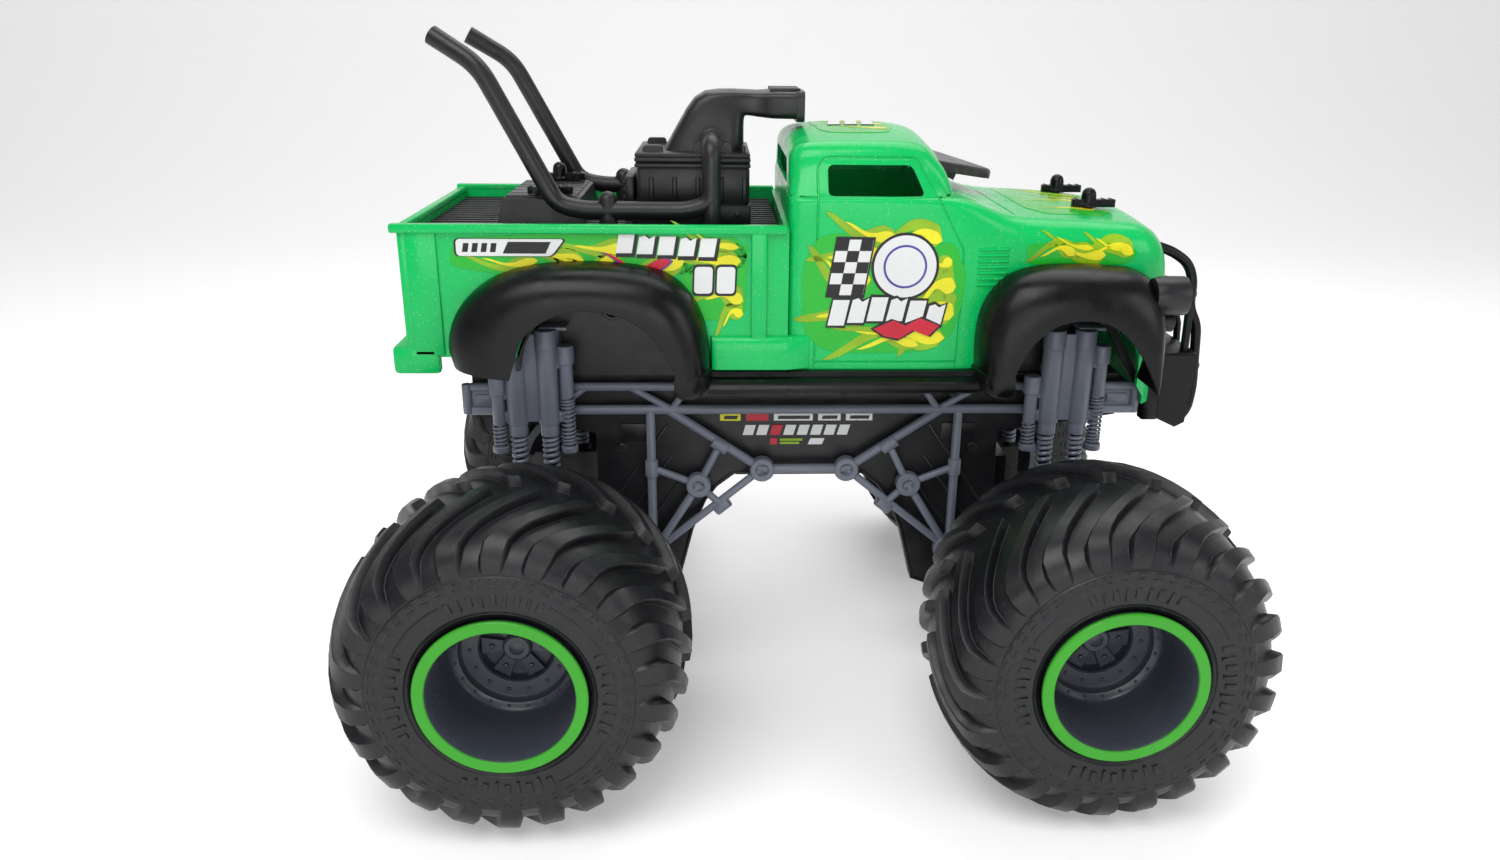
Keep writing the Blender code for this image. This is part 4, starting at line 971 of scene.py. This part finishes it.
def bumper():
    """A sloping block with a socket at each end, bolts, and a row of plain pads."""
    shape = Shape()
    outline = [(0.174, 0.181), (0.191, 0.181), (0.1886, 0.147), (0.184, 0.1445), (0.1745, 0.149)]
    shape.prism(outline, -0.05, 0.05, "Y", 0.001)
    for side in (-1, 1):
        shape.box((0.1635, side * 0.036, 0.1555), (0.176, side * 0.0425, 0.1605), 0.0008)
        shape.lathe([(0, 0), (0.004, 0), (0.0044, 0.0006), (0.0044, 0.0074), (0.004, 0.008), (0, 0.008)],
                    (0.169, side * 0.05 - (0.008 if side > 0 else 0), 0.1688), (0, 1, 0), 28)
        shape.box((0.1668, side * 0.043, 0.148), (0.1752, side * 0.05, 0.165), 0.0012)
        for z in (0.156, 0.172):
            shape.rod((0.189, side * 0.033, z), (0.1912, side * 0.033, z), 0.002, 6, 0.0004)
    for i in range(5):
        y = -0.02 + 0.01 * i
        shape.box((0.1895, y - 0.0032, 0.16), (0.1906, y + 0.0032, 0.169), 0.0008)
    shape.box((0.17, -0.049, 0.1795), (0.1912, 0.049, 0.1818), 0.0006)
    shape.piece("bumper_look", [TRIM], "chassis", ["bumper"], "black_plastic")


def bull_bar():
    """Two bent tubes from the hood's nose down over the bumper, tied by cross-bars."""
    shape, radius = Shape(), 0.0024
    for side in (-1, 1):
        y = side * 0.038
        path = [(0.166, y, 0.2322), (0.1762, y, 0.2292), (0.185, y, 0.2235), (0.1885, y, 0.215), (0.1885, y, 0.202),
                (0.1935, y, 0.1925), (0.195, y, 0.17), (0.1956, y, 0.161), (0.1945, y, 0.15), (0.19, y, 0.144)]
        shape.sweep(rounded(path, 0.0045, 6), radius, 18)
        shape.ball((0.166, y, 0.2322), 0.003, 14)
        shape.ball((0.19, y, 0.144), 0.0027, 14)
        brace = [(0.1885, y, 0.205), (0.1875, side * 0.041, 0.196), (0.1872, side * 0.042, 0.178)]
        shape.sweep(rounded(brace, 0.004, 5), 0.002, 14)
        for z, x in ((0.208, 0.1885), (0.172, 0.1949)):
            shape.lathe([(radius, -0.0022), (0.0034, -0.0022), (0.0034, 0.0022), (radius, 0.0022)],
                        (x, side * 0.035, z), (0, 1, 0), 20, True)
    for x, z in ((0.1885, 0.208), (0.1949, 0.172)):
        shape.sweep([(x, -0.038, z), (x, 0.0, z), (x, 0.038, z)], radius, 18)
    for y in (-0.015, 0.015):
        shape.sweep([(0.1885, y, 0.208), (0.1905, y, 0.199), (0.194, y, 0.188), (0.1949, y, 0.172)], 0.0018, 12)
    shape.piece("bull_bar_look", [TRIM], "chassis", ["bull_bar"], "black_plastic")


def latch(place, base):
    """A quarter-turn knob: a dome on a skirt, a lever bar with three ribs across it, and a pin below."""
    shape = Shape()
    x, y = place
    shape.lathe([(0, 0.0), (0.0042, 0.0), (0.0042, 0.0012), (0.0035, 0.002), (0.0035, 0.0054), (0.0032, 0.007),
                 (0.0024, 0.0082), (0.0012, 0.0089), (0, 0.0091)], (x, y, base), (0, 0, 1), 32)
    bar = soft_outline([(x - 0.008, y - 0.0022), (x + 0.0128, y - 0.0022), (x + 0.0128, y + 0.0022),
                        (x - 0.008, y + 0.0022)], 0.0014, 5)
    shape.prism(bar, base + 0.0001, base + 0.0036, "Z", 0.0006)
    for along in (-0.0062, 0.007, 0.0108):
        shape.box((x + along - 0.0006, y - 0.0024, base + 0.0008), (x + along + 0.0006, y + 0.0024, base + 0.0041),
                  0.0004)
    shape.rod((x, y, base - 0.0075), (x, y, base + 0.001), 0.0018, 16)
    return shape


def latches():
    for end in ("hood", "tail"):
        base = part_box(f"{end}_latch_right")[1].z - (0.0081 if end == "hood" else 0.0089)
        for label, side in LABELS.items():
            shape = latch((middle(f"{end}_latch_right").x - 0.0024, side * 0.026), base)
            shape.piece(f"{end}_latch_{label}_look", [TRIM], f"{end}_latch_{label}", [f"{end}_latch_{label}"],
                        "black_plastic")


# ---------------------------------------------------------------- chassis

def side_frame():
    """Grey tubes: two rails with braces, and a truss of posts, arch and links joined by collars and bosses."""
    shape = Shape()

    def at(place, out=0.0):
        return Vector((FRAME_X + place[0], -FRAME_Y - out, place[1]))

    def bar(first, last, radius, out=0.0):
        shape.rod(at(first, out), at(last, out), radius, 18, 0.0003)

    def collar(place, along, half=0.0042, radius=0.0032):
        direction = Vector((along[0], 0, along[1])).normalized()
        shape.rod(at(place) - direction * half, at(place) + direction * half, radius, 24, 0.0005)

    def boss(place, outer, inner, half, floor):
        ring = [(inner, -half * 0.8), (inner + 0.0005, -half), (outer - 0.0006, -half), (outer, -half * 0.75),
                (outer, half * 0.75), (outer - 0.0006, half), (inner + 0.0005, half), (inner, half * 0.8)]
        shape.lathe(ring, at(place), (0, 1, 0), 36, True)
        if floor:
            shape.rod(at(place) - Vector((0, floor, 0)), at(place) + Vector((0, floor, 0)), inner + 0.0002, 28)

    bar((-0.158, 0.1655), (0.1615, 0.1655), 0.0021)
    bar((-0.158, 0.154), (0.1615, 0.154), 0.0023)
    bar((-0.0206, 0.1233), (0.0206, 0.1233), 0.0023)
    for end in ENDS.values():
        low_boss, high_boss = (end * 0.0206, 0.1233), (end * 0.0516, 0.115)
        arch_collar, low_collar = (end * 0.0411, 0.1358), (end * 0.0402, 0.104)
        post, ring = (end * 0.0742, 0.124), (end * 0.0735, 0.0795)
        bar((end * 0.0742, 0.1545), (end * 0.0742, 0.085), 0.0022)
        bar((end * 0.066, 0.154), low_boss, 0.0022)
        bar(low_boss, ring, 0.0019)
        bar(high_boss, ring, 0.002)
        bar(arch_collar, high_boss, 0.0018)
        bar(post, high_boss, 0.0018)
        bar(low_collar, high_boss, 0.0018)
        collar(post, (0, 1))
        collar(arch_collar, (end * 0.0454, 0.0297))
        collar(low_collar, (end * 0.0529, -0.0438))
        boss(low_boss, 0.006, 0.0029, 0.0029, 0.0012)
        boss(high_boss, 0.006, 0.0026, 0.0029, 0.001)
        boss(ring, 0.0072, 0.005, 0.0027, 0)
        for first, last in (((0.084, 0.1655), (0.064, 0.154)), ((0.056, 0.1655), (0.064, 0.154)),
                            ((0.12, 0.154), (0.104, 0.1655))):
            bar((end * first[0], first[1]), (end * last[0], last[1]), 0.0017)
        low, high = (end * 0.142, 0.1525), (end * 0.16, 0.167)
        for along in (low[0], high[0]):
            bar((along, low[1]), (along, high[1]), 0.0023)
        shape.box(at((low[0], low[1] + 0.001), -0.0012), at((high[0], high[1] - 0.001), 0.0002), 0.0003)
        shape.box(at((low[0] + end * 0.004, 0.1575), 0.0002), at((high[0] - end * 0.004, 0.162), 0.0012), 0.0004)
    return shape


def coil(shape, centre, low, high, radius, wire, turns, sides=6):
    """An open coil whose last turn at each end lies nearly flat."""
    steps = 14
    count, path = int(turns * steps), []
    for i in range(count + 1):
        share = i / count
        rise = share - 0.224 * math.sin(2 * math.pi * share) / (2 * math.pi)
        angle = 2 * math.pi * i / steps
        path.append((centre[0] + radius * math.cos(angle), centre[1] + radius * math.sin(angle),
                     low + wire + (high - low - 2 * wire) * rise))
    shape.sweep(path, wire, sides)


def tower(end):
    """Two spring tubes on a slab, and a slimmer damper on each side with its own coil."""
    x, y = ENDS[end] * AXLE_X, -TOWER_Y
    shape = Shape()
    shape.box((x - 0.006, y - 0.0016, 0.151), (x + 0.006, y + 0.0016, 0.1935), 0.0005)
    shape.box((x - 0.01, y, 0.1708), (x + 0.01, -0.0365, 0.1762), 0.0008)
    shape.box((x + 0.0085, -0.052, 0.15), (x + 0.0125, -0.044, 0.196), 0.0008)
    shape.box((x + 0.004, -0.056, 0.1945), (x + 0.017, -0.043, 0.1962), 0.0005)
    for step in (-1, 1):
        tube_x = x + step * TOWER_PITCH
        shape.lathe([(0, 0.15), (0.0047, 0.15), (0.0049, 0.1503), (0.0049, 0.1862), (0.0052, 0.1866),
                     (0.0052, 0.1948), (0.0049, 0.1954), (0, 0.1955)], (tube_x, y, 0), (0, 0, 1), 36)
        shape.lathe([(0.0032, SPRING_HIGH + 0.0004), (0.0042, SPRING_HIGH + 0.0004), (0.0043, SPRING_HIGH + 0.0007),
                     (0.0043, 0.1505), (0.0032, 0.1505)], (tube_x, y, 0), (0, 0, 1), 32, True)
        damper_x, top = x + step * 0.016, 0.188 if step > 0 else 0.173
        foot = top - 0.025 if step > 0 else top - 0.0235
        shape.lathe([(0, foot), (0.0029, foot), (0.0031, foot + 0.0004), (0.0031, top - 0.009),
                     (0.0039, top - 0.0086), (0.004, top - 0.001), (0.0036, top - 0.0001), (0, top)],
                    (damper_x, y, 0), (0, 0, 1), 32)
        shape.rod((damper_x, y, 0.1365), (damper_x, y, foot + 0.001), 0.0017, 16)
        shape.lathe([(0.0016, 0.1358), (0.0038, 0.1358), (0.004, 0.1362), (0.004, 0.1386), (0.0037, 0.139),
                     (0.0016, 0.139)], (damper_x, y, 0), (0, 0, 1), 28, True)
        coil(shape, (damper_x, y), 0.1388, foot + 0.0003, 0.0029, 0.0006, (foot - 0.1388) / 0.0019)
        low, high = sorted((damper_x, tube_x))
        shape.box((low, y - 0.0014, top - 0.011), (high, y + 0.0014, top - 0.003), 0.0004)
        shape.box((low, y - 0.0012, 0.1505), (high, y + 0.0012, 0.156), 0.0004)
    return shape


def towers_and_springs():
    for end in ENDS:
        pair(f"shock_tower_{end}_look", lambda: tower(end), [GREY], "chassis", [f"shock_tower_{end}_*"],
             "chassis_grey")
        for label, side in LABELS.items():
            for number, step in ((1, -1), (2, 1)):
                x, y = ENDS[end] * AXLE_X + step * TOWER_PITCH, side * TOWER_Y
                low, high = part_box(f"spring_{end}_{label}_{number}")
                shape = Shape()
                coil(shape, (x, y), low.z, high.z, 0.0031, 0.001, 15, 8)
                made = shape.object(f"spring_{end}_{label}_{number}_look", [STEEL])
                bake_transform(made)
                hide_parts(f"spring_{end}_{label}_{number}")


def tub_detail():
    """What stands proud of the tub: framed side panels, leg ribs, screws, inner arch walls and the nose braces."""
    shape = Shape()
    half_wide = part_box("chassis_tub")[1].y
    for side in (-1, 1):
        face = side * half_wide
        out = face + side * 0.001
        for end in ENDS.values():
            legs = [((0.056, 0.118), (0.094, 0.064)), ((0.062, 0.128), (0.097, 0.078)),
                    ((0.064, 0.144), (0.097, 0.096))]
            for (x1, z1), (x2, z2) in legs:
                shape.rod((end * x1, face, z1), (end * x2, face, z2), 0.0008, 10)
            rim = [(0.032, 0.119), (0.0408, 0.112), (0.0463, 0.1044), (0.0528, 0.0886), (0.06, 0.0602),
                   (0.0692, 0.0568), (0.098, 0.0568)]
            shape.sweep([(end * x, face - side * 0.0002, z) for x, z in rim], 0.001, 8)
            for x, z in ((0.076, 0.064), (0.09, 0.064), (0.086, 0.132), (0.148, 0.162)):
                shape.lathe([(0, 0), (0.0026, 0), (0.0028, 0.0003), (0.0028, 0.0009), (0.0022, 0.0014), (0, 0.0014)],
                            (end * x, face - side * 0.0001, z), (0, side, 0), 20)
            low, high = sorted((end * 0.07, end * 0.087))
            shape.box((low, face - side * 0.0005, 0.136), (high, out, 0.145), 0.0006)
        shape.sweep([(x, face - side * 0.0002, 0.1188) for x in (-0.031, 0.0, 0.031)], 0.001, 8)
        centre, radii = REAR_ARCH
        arch = ellipse(centre, (radii[0] + 0.001, radii[1] + 0.001), 2, 178, 25)
        under = ellipse(centre, (radii[0] - 0.0008, radii[1] - 0.0008), 178, 2, 25)
        low, high = sorted((side * 0.045, side * 0.066))
        shape.prism(arch + under, low, high, "Y", 0.0002)
        for x1, x2, top in ((-0.144, -0.054, 0.235), (0.086, 0.142, 0.242)):
            wall = soft_outline([(x1, 0.17), (x2, 0.17), (x2, top), (x1, top)], 0.006, 5)
            shape.prism(wall, side * 0.044, side * 0.0456, "Y", 0.0004)
        shape.lathe([(0.0034, 0), (0.004, 0.0016), (0.0052, 0.0016), (0.0056, 0.0008), (0.0056, -0.001),
                     (0.0034, -0.001)],
                    (-0.088, side * 0.047, 0.203), (0, side, 0), 32, True)
        shape.prism([(0.1445, 0.1966), (0.148, 0.198), (0.165, 0.168), (0.162, 0.1665)], side * 0.0435,
                    side * 0.0465, "Y", 0.0005)
        shape.box((0.056, side * 0.03, 0.1702), (0.14, side * 0.048, 0.1718), 0.0004)
    shape.piece("tub_detail", [BLACK], "chassis", slot="black_plastic")


# ---------------------------------------------------------------- stickers

LAYER, LIFT, SUNK = 0.00009, 0.00012, 0.0002    # one layer's thickness, the first one's height, depth of the underside


def decal(shape, tree, outline, layer, aim=(0, 1, 0), step=0.0024):
    """A thin sheet with this outline, laid on the surface that aim meets; each layer lies on the one before.

    Without a tree it lies on the flat face of the tub.
    """
    aim = Vector(aim)
    spots = [Vector(p) for p in outline]
    low = Vector((min(p.x for p in spots), min(p.y for p in spots)))
    high = Vector((max(p.x for p in spots), max(p.y for p in spots)))
    columns, rows = int((high.x - low.x) / step) + 1, int((high.y - low.y) / step) + 1
    inside = [low + Vector((step * (i + 0.5), step * (j + 0.5))) for i in range(columns) for j in range(rows)]
    found = delaunay_2d_cdt(spots + inside, [], [list(range(len(spots)))], 1, 1e-7)
    flat, faces = found[0], found[2]

    def lay(point, lift):
        start = Vector((point.x, -0.3 * aim.y, point.y)) if aim.y else Vector((point.x, point.y, 0.5))
        if tree is None:
            return Vector((point.x, -(TUB_Y + SUNK + lift) * aim.y, point.y))
        hit, normal = tree.ray_cast(start, aim)[:2]
        return hit + normal * lift if hit else start + aim * (0.234 if aim.y else 0.255)

    part = bmesh.new()
    top = [part.verts.new(lay(p, LIFT + LAYER * layer)) for p in flat]
    base = [part.verts.new(lay(p, -SUNK)) for p in flat]
    for face in faces:
        part.faces.new([top[i] for i in face])
        part.faces.new([base[i] for i in reversed(face)])
    for edge in [e for e in part.edges if len(e.link_faces) == 1 and e.verts[0] in set(top)]:
        first, last = (top.index(v) for v in edge.verts)
        part.faces.new((top[first], base[first], base[last], top[last]))
    loose = [v for v in part.verts if not v.link_faces]
    bmesh.ops.delete(part, geom=loose, context="VERTS")
    shape.absorb(part)


def tongue(root, length, wide, lean, wave=0.5):
    """One curling flame: it starts wide at its root and ends in a point, lean degrees from +X towards +Z."""
    centre, widths, count = [], [], 16
    for i in range(count + 1):
        t = i / count
        centre.append(Vector((length * t, wide * wave * 1.6 * math.sin(math.pi * 1.5 * t) * t)))
        widths.append(wide * 0.5 * min(1.0, math.sqrt(t / 0.2)) * (1 - t) ** 0.75 * (0.9 + 0.3 * math.sin(7 * t + 0.4)))
    left, right = [], []
    for i, (point, half) in enumerate(zip(centre, widths)):
        ahead = (centre[min(i + 1, count)] - centre[max(i - 1, 0)]).normalized()
        side = Vector((-ahead.y, ahead.x)) * max(half, 0.00005)
        left.append(point + side)
        right.append(point - side)
    turn = Matrix.Rotation(math.radians(lean), 2)
    return [turn @ p + Vector(root) for p in left + right[::-1][1:]]


def blob(low, high, bumps, size, seed):
    """A rounded patch with a wavy edge, which is how the stickers are cut out."""
    chance = random.Random(seed)
    centre, half = (Vector(low) + Vector(high)) / 2, (Vector(high) - Vector(low)) / 2
    phases = [(k, chance.uniform(0, 6.3), chance.uniform(0.4, 1.0)) for k in range(3, 3 + bumps)]
    points = []
    for i in range(96):
        angle = 2 * math.pi * i / 96
        wobble = 1 + size * sum(gain * math.sin(k * angle + phase) for k, phase, gain in phases) / bumps
        c, s = math.cos(angle), math.sin(angle)
        reach = Vector((half.x * math.copysign(abs(c) ** 0.55, c), half.y * math.copysign(abs(s) ** 0.55, s)))
        points.append(centre + reach * wobble)
    return points


def slanted(x, z, wide, high, slant=0.25, notch=0.0):
    """A leaning block, with a notch in its top edge if asked."""
    shift = slant * high
    points = [(x, z), (x + wide, z)]
    if notch:
        points += [(x + wide + shift, z + high), (x + wide * 0.62 + shift * 0.9, z + high * (1 - notch)),
                   (x + wide * 0.35 + shift, z + high)]
    else:
        points += [(x + wide + shift, z + high)]
    return points + [(x + shift, z + high * (0.92 if notch else 1.0))]


def disc(x, z, radius, count=48):
    turns = [2 * math.pi * i / count for i in range(count)]
    return [(x + radius * math.cos(a), z + radius * math.sin(a)) for a in turns]


def grown(outline, amount):
    """An outline moved outwards by an amount, roughly."""
    points = [Vector(p) for p in outline]
    centre = sum(points, Vector((0, 0))) / len(points)
    return [p + (p - centre).normalized() * amount for p in points]


def sheet(tree, items, aim=(0, 1, 0)):
    """Stickers from (paint, layer, outline) rows."""
    shape = Shape()
    for paint, layer, outline in items:
        shape.paint = list(INKS).index(paint)
        decal(shape, tree, outline, layer, aim)
    return shape


def flames(roots, seed, lean=180):
    """Lime tongues with yellow ones inside them."""
    chance, items = random.Random(seed), []
    for x, z, length, wide in roots:
        tilt, wave = lean + chance.uniform(-16, 16), chance.uniform(-0.8, 0.8)
        items.append(("lime", 2, tongue((x, z), length, wide, tilt, wave)))
        items.append(("yellow", 3, tongue((x, z), length * 0.72, wide * 0.52, tilt, wave)))
    return items


def bedside_items():
    """Flames behind a plain name bar, a row of blocks over a swash, and two round-cornered blocks."""
    items = [("base", 1, blob((-0.156, 0.2225), (-0.027, 0.2405), 8, 0.1, 3)),
             ("base", 1, blob((-0.056, 0.202), (-0.0262, 0.24), 6, 0.08, 5))]
    items += flames([(-0.029, 0.229, 0.036, 0.011), (-0.054, 0.229, 0.04, 0.012),
                     (-0.078, 0.2345, 0.034, 0.01), (-0.098, 0.229, 0.034, 0.009),
                     (-0.118, 0.229, 0.034, 0.007), (-0.028, 0.211, 0.024, 0.011),
                     (-0.03, 0.235, 0.032, 0.006), (-0.028, 0.205, 0.014, 0.008), (-0.084, 0.231, 0.03, 0.008)], 11)
    bar = soft_outline([(-0.153, 0.231), (-0.112, 0.231), (-0.106, 0.2385), (-0.153, 0.2385)], 0.002, 4)
    items += [("ink", 5, grown(bar, 0.0009)), ("white", 6, bar),
              ("ink", 7, slanted(-0.133, 0.2322, 0.0185, 0.0051, 0.5))]
    for k in range(4):
        items.append(("ink", 7, slanted(-0.1505 + 0.004 * k, 0.2328, 0.0024, 0.0039, 0.2)))
    for k in range(5):
        block = slanted(-0.084 + 0.009 * k, 0.2325 - 0.0004 * k, 0.007, 0.0082, 0.18, 0.18 if k % 2 else 0.0)
        items += [("ink", 5, [(x + 0.0007, z - 0.0009) for x, z in grown(block, 0.0011)]), ("white", 6, block)]
    swash = tongue((-0.06, 0.229), 0.029, 0.0046, 186, 0.9)
    items += [("violet", 7, grown(swash, 0.001)), ("red", 8, swash)]
    for k in range(2):
        x, low, high = -0.05 + 0.01 * k, 0.2145, 0.2145 + 0.012
        block = soft_outline([(x, low), (x + 0.008, low), (x + 0.0085, high), (x + 0.0005, high)], 0.0018, 4)
        items += [("ink", 5, grown(block, 0.0012)), ("white", 6, block)]
    return items


def door_items():
    """Flames behind a chequer, an empty roundel, a row of notched blocks and a red swash."""
    items = [("base", 1, blob((-0.002, 0.187), (0.07, 0.2425), 9, 0.13, 8))]
    items += flames([(0.04, 0.2395, 0.034, 0.011), (0.033, 0.233, 0.034, 0.013), (0.029, 0.221, 0.031, 0.014),
                     (0.03, 0.208, 0.036, 0.015), (0.064, 0.194, 0.056, 0.015), (0.052, 0.1905, 0.042, 0.009),
                     (0.0675, 0.205, 0.026, 0.017), (0.0675, 0.218, 0.024, 0.015), (0.06, 0.2385, 0.03, 0.011),
                     (0.065, 0.23, 0.014, 0.009)], 21)
    flag = slanted(0.0095, 0.214, 0.016, 0.025, 0.16)
    items += [("ink", 5, grown(flag, 0.0014)), ("white", 6, flag)]
    for row in range(5):
        for k in range(row % 2, 3, 2):
            x, z = 0.0095 + 0.0053 * k + 0.0008 * row, 0.214 + 0.005 * row
            items.append(("ink", 7, slanted(x, z, 0.0053, 0.005, 0.16)))
    for paint, layer, radius in (("ink", 5, 0.0152), ("white", 6, 0.014), ("violet", 7, 0.0098), ("white", 8, 0.0088)):
        items.append((paint, layer, disc(0.044, 0.227, radius)))
    for k in range(6):
        x, z = 0.01 + 0.0088 * k, 0.2 + 0.0022 * math.sin(0.62 * k)
        bar = slanted(x, z, 0.0074, 0.0118 - 0.0004 * k, 0.2, 0.15 if k % 2 else 0.0)
        items += [("ink", 7, grown(bar, 0.0013)), ("white", 8, bar)]
    swash = [(0.031, 0.1985), (0.04, 0.2025), (0.0455, 0.2), (0.052, 0.2035), (0.061, 0.2), (0.056, 0.195),
             (0.049, 0.1978), (0.043, 0.1938), (0.036, 0.195)]
    items += [("ink", 9, grown(swash, 0.0012)), ("red", 10, swash)]
    return items


def hood_side_items():
    items = [("base", 1, blob((0.0985, 0.2268), (0.15, 0.2375), 7, 0.08, 14))]
    return items + flames([(0.149, 0.232, 0.026, 0.009), (0.136, 0.2315, 0.028, 0.009), (0.122, 0.232, 0.022, 0.008),
                           (0.146, 0.2345, 0.022, 0.006), (0.13, 0.2345, 0.026, 0.005)], 31)


def top_items():
    """The hood's and the roof's stickers, as (x, y) outlines."""
    hood = [("base", 1, blob((0.102, -0.044), (0.148, 0.044), 8, 0.08, 4))]
    hood += flames([(0.144, -0.012, 0.034, 0.01), (0.144, 0.012, 0.034, 0.01), (0.144, 0.0, 0.03, 0.008),
                    (0.14, -0.03, 0.028, 0.008), (0.14, 0.03, 0.028, 0.008)], 41)
    roof = [("base", 1, blob((0.006, -0.034), (0.043, 0.034), 8, 0.08, 6))]
    roof += flames([(0.04, -0.022, 0.028, 0.008), (0.04, -0.008, 0.03, 0.009), (0.04, 0.008, 0.03, 0.009),
                    (0.04, 0.022, 0.028, 0.008)], 43)
    for k in range(3):
        bar = slanted(0.013 + 0.008 * k, -0.011, 0.0058, 0.022, 0.1)
        roof += [("ink", 5, grown(bar, 0.0011)), ("white", 6, bar)]
    return hood + roof


def tub_items():
    """A row of small coloured labels over a row of plain white bars."""
    items = []
    row = (("yellow", 0.01), ("red", 0.011), ("white", 0.019), ("white", 0.011), ("white", 0.013))
    x = -0.0385
    for k, (paint, wide) in enumerate(row):
        bar = slanted(x, 0.1462, wide, 0.0036, 0.0)
        items.append((paint, 2, bar))
        if k != 1:
            items.append(("ink", 3, slanted(x + 0.0018, 0.147, wide - 0.0036, 0.0018, 0.3)))
        x += wide + 0.0026
    for k in range(8):
        bar = slanted(-0.0275 + 0.0066 * k, 0.1388, 0.005, 0.0052, 0.28)
        items.append(("red" if k == 2 else "white", 2, bar))
    small = (("red", -0.014, 0.1338, 0.0034, 0.0034, 0.0), ("lime", -0.0092, 0.1357, 0.011, 0.0012, 0.0),
             ("lime", -0.0092, 0.134, 0.0095, 0.0012, 0.0), ("white", 0.0045, 0.1338, 0.007, 0.0032, 0.4))
    return items + [(paint, 2, slanted(*block)) for paint, *block in small]


def stickers(tree):
    paints = list(INKS.values())
    sides = bedside_items() + door_items() + hood_side_items()
    pair("stickers_side", lambda: sheet(tree, sides), paints, "chassis")
    sheet(tree, top_items(), (0, 0, -1)).piece("stickers_top", paints, "chassis")
    pair("stickers_tub", lambda: sheet(None, tub_items()), paints, "chassis")


# ---------------------------------------------------------------- pieces that keep their CAD shape

def paint_kept():
    """Procedural materials for the hidden mechanism, which stays as the CAD model has it."""
    kept = {"chassis_tub": BLACK, "front_axle_housing": BLACK, "rear_axle_housing": BLACK, "gearbox_cover": BLACK,
            "knuckle_left": BLACK, "knuckle_right": BLACK, "tie_rod": BLACK, "servo_horn": WHITE_GEAR,
            "steering_servo": INKS["ink"], "rear_axle_shaft": STEEL, "axle_gear": WHITE_GEAR, "motor_pinion": STEEL,
            "drive_motor": STEEL, "battery": WRAP, "battery_door": BLACK, "circuit_board": BOARD, "power_switch": BLACK}
    for name, paint in kept.items():
        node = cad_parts[name]
        for place in node.material_slots:
            place.link = "OBJECT"
            place.material = paint


# ---------------------------------------------------------------- camera, light and floor

def camera():
    """A little over half a metre away, looking down on the truck's right side."""
    yaw, pitch, roll = math.radians(2.944), math.radians(19.12), math.radians(0.78)
    ahead = Vector((math.sin(yaw) * math.cos(pitch), math.cos(yaw) * math.cos(pitch), -math.sin(pitch)))
    level = Vector((math.cos(yaw), -math.sin(yaw), 0.0))
    above = level.cross(ahead)
    right = level * math.cos(roll) + above * math.sin(roll)
    up = above * math.cos(roll) - level * math.sin(roll)
    lens = bpy.data.cameras.new("camera")
    lens.sensor_width, lens.lens = 36.0, 26.258
    lens.shift_x, lens.shift_y = -0.0139, -0.011
    lens.clip_start, lens.clip_end = 0.01, 20.0
    made = bpy.data.objects.new("camera", lens)
    made.matrix_world = Matrix((right, up, -ahead)).transposed().to_4x4()
    made.location = (-0.0396, -0.5451, 0.324)
    bpy.context.scene.collection.objects.link(made)
    bpy.context.scene.camera = made


def soft_box(name, place, aim, size, power, shade=(1.0, 1.0, 1.0)):
    light = bpy.data.lights.new(name, "AREA")
    light.shape, light.size, light.size_y = "RECTANGLE", *size
    light.energy, light.color = power, shade
    made = bpy.data.objects.new(name, light)
    made.location = place
    made.rotation_euler = (Vector(aim) - Vector(place)).to_track_quat("-Z", "Y").to_euler()
    bpy.context.scene.collection.objects.link(made)


def studio():
    """A white sweep that the floor and the background share, and four soft boxes."""
    shape = Shape()
    profile = [(-2.0, 0.0), (1.2, 0.0)] + [(1.2 + 0.8 * math.sin(a), 0.8 - 0.8 * math.cos(a))
                                           for a in (math.pi / 2 * k / 12 for k in range(1, 13))] + [(2.0, 3.0)]
    shape.loft([[(x, y, z) for y, z in profile] for x in (-3.5, 3.5)], closed_rings=False, caps=False)
    paper = moulded("white_paper", (0.93, 0.93, 0.93), 0.75, grain=0.1, grain_scale=300, blotch=0.004, specular=0.1)
    shader = paper.node_tree.nodes["Principled BSDF"]
    shader.inputs["Emission Color"].default_value = (1.0, 1.0, 1.0, 1.0)
    shader.inputs["Emission Strength"].default_value = 0.22
    floor = shape.object("floor", [paper])
    world = bpy.data.worlds.new("room")
    world.use_nodes = True
    world.node_tree.nodes["Background"].inputs["Color"].default_value = (1.0, 1.0, 1.0, 1.0)
    world.node_tree.nodes["Background"].inputs["Strength"].default_value = 0.34
    bpy.context.scene.world = world
    bpy.context.scene.view_settings.view_transform = "Standard"
    soft_box("key", (-0.35, -0.75, 1.25), (0.0, 0.0, 0.12), (1.0, 0.8), 11.5)
    soft_box("top", (0.25, 0.45, 1.35), (0.0, 0.0, 0.15), (1.3, 0.9), 9.0)
    soft_box("fill", (-0.1, -1.5, 0.35), (0.0, 0.0, 0.16), (1.2, 0.5), 5.0)
    soft_box("front", (1.3, -0.9, 0.7), (0.0, 0.0, 0.15), (0.8, 0.8), 5.0)


camera()
studio()
wheels()
body_tree = body_shell()
pair("fender_look", fender, [TRIM], "chassis", ["fender_*"], "trim_black")
bed_floor()
engine()
air_scoop()
pair("exhaust_look", exhaust, [BLACK], "chassis", ["exhaust_*"], "black_plastic")
visor()
pair("headlight_look", headlight, [BLACK, LENS], "chassis", ["headlight_*"])
bumper()
bull_bar()
latches()
pair("side_frame_look", side_frame, [GREY], "chassis", ["side_frame_*"], "chassis_grey")
towers_and_springs()
tub_detail()
stickers(body_tree)
paint_kept()
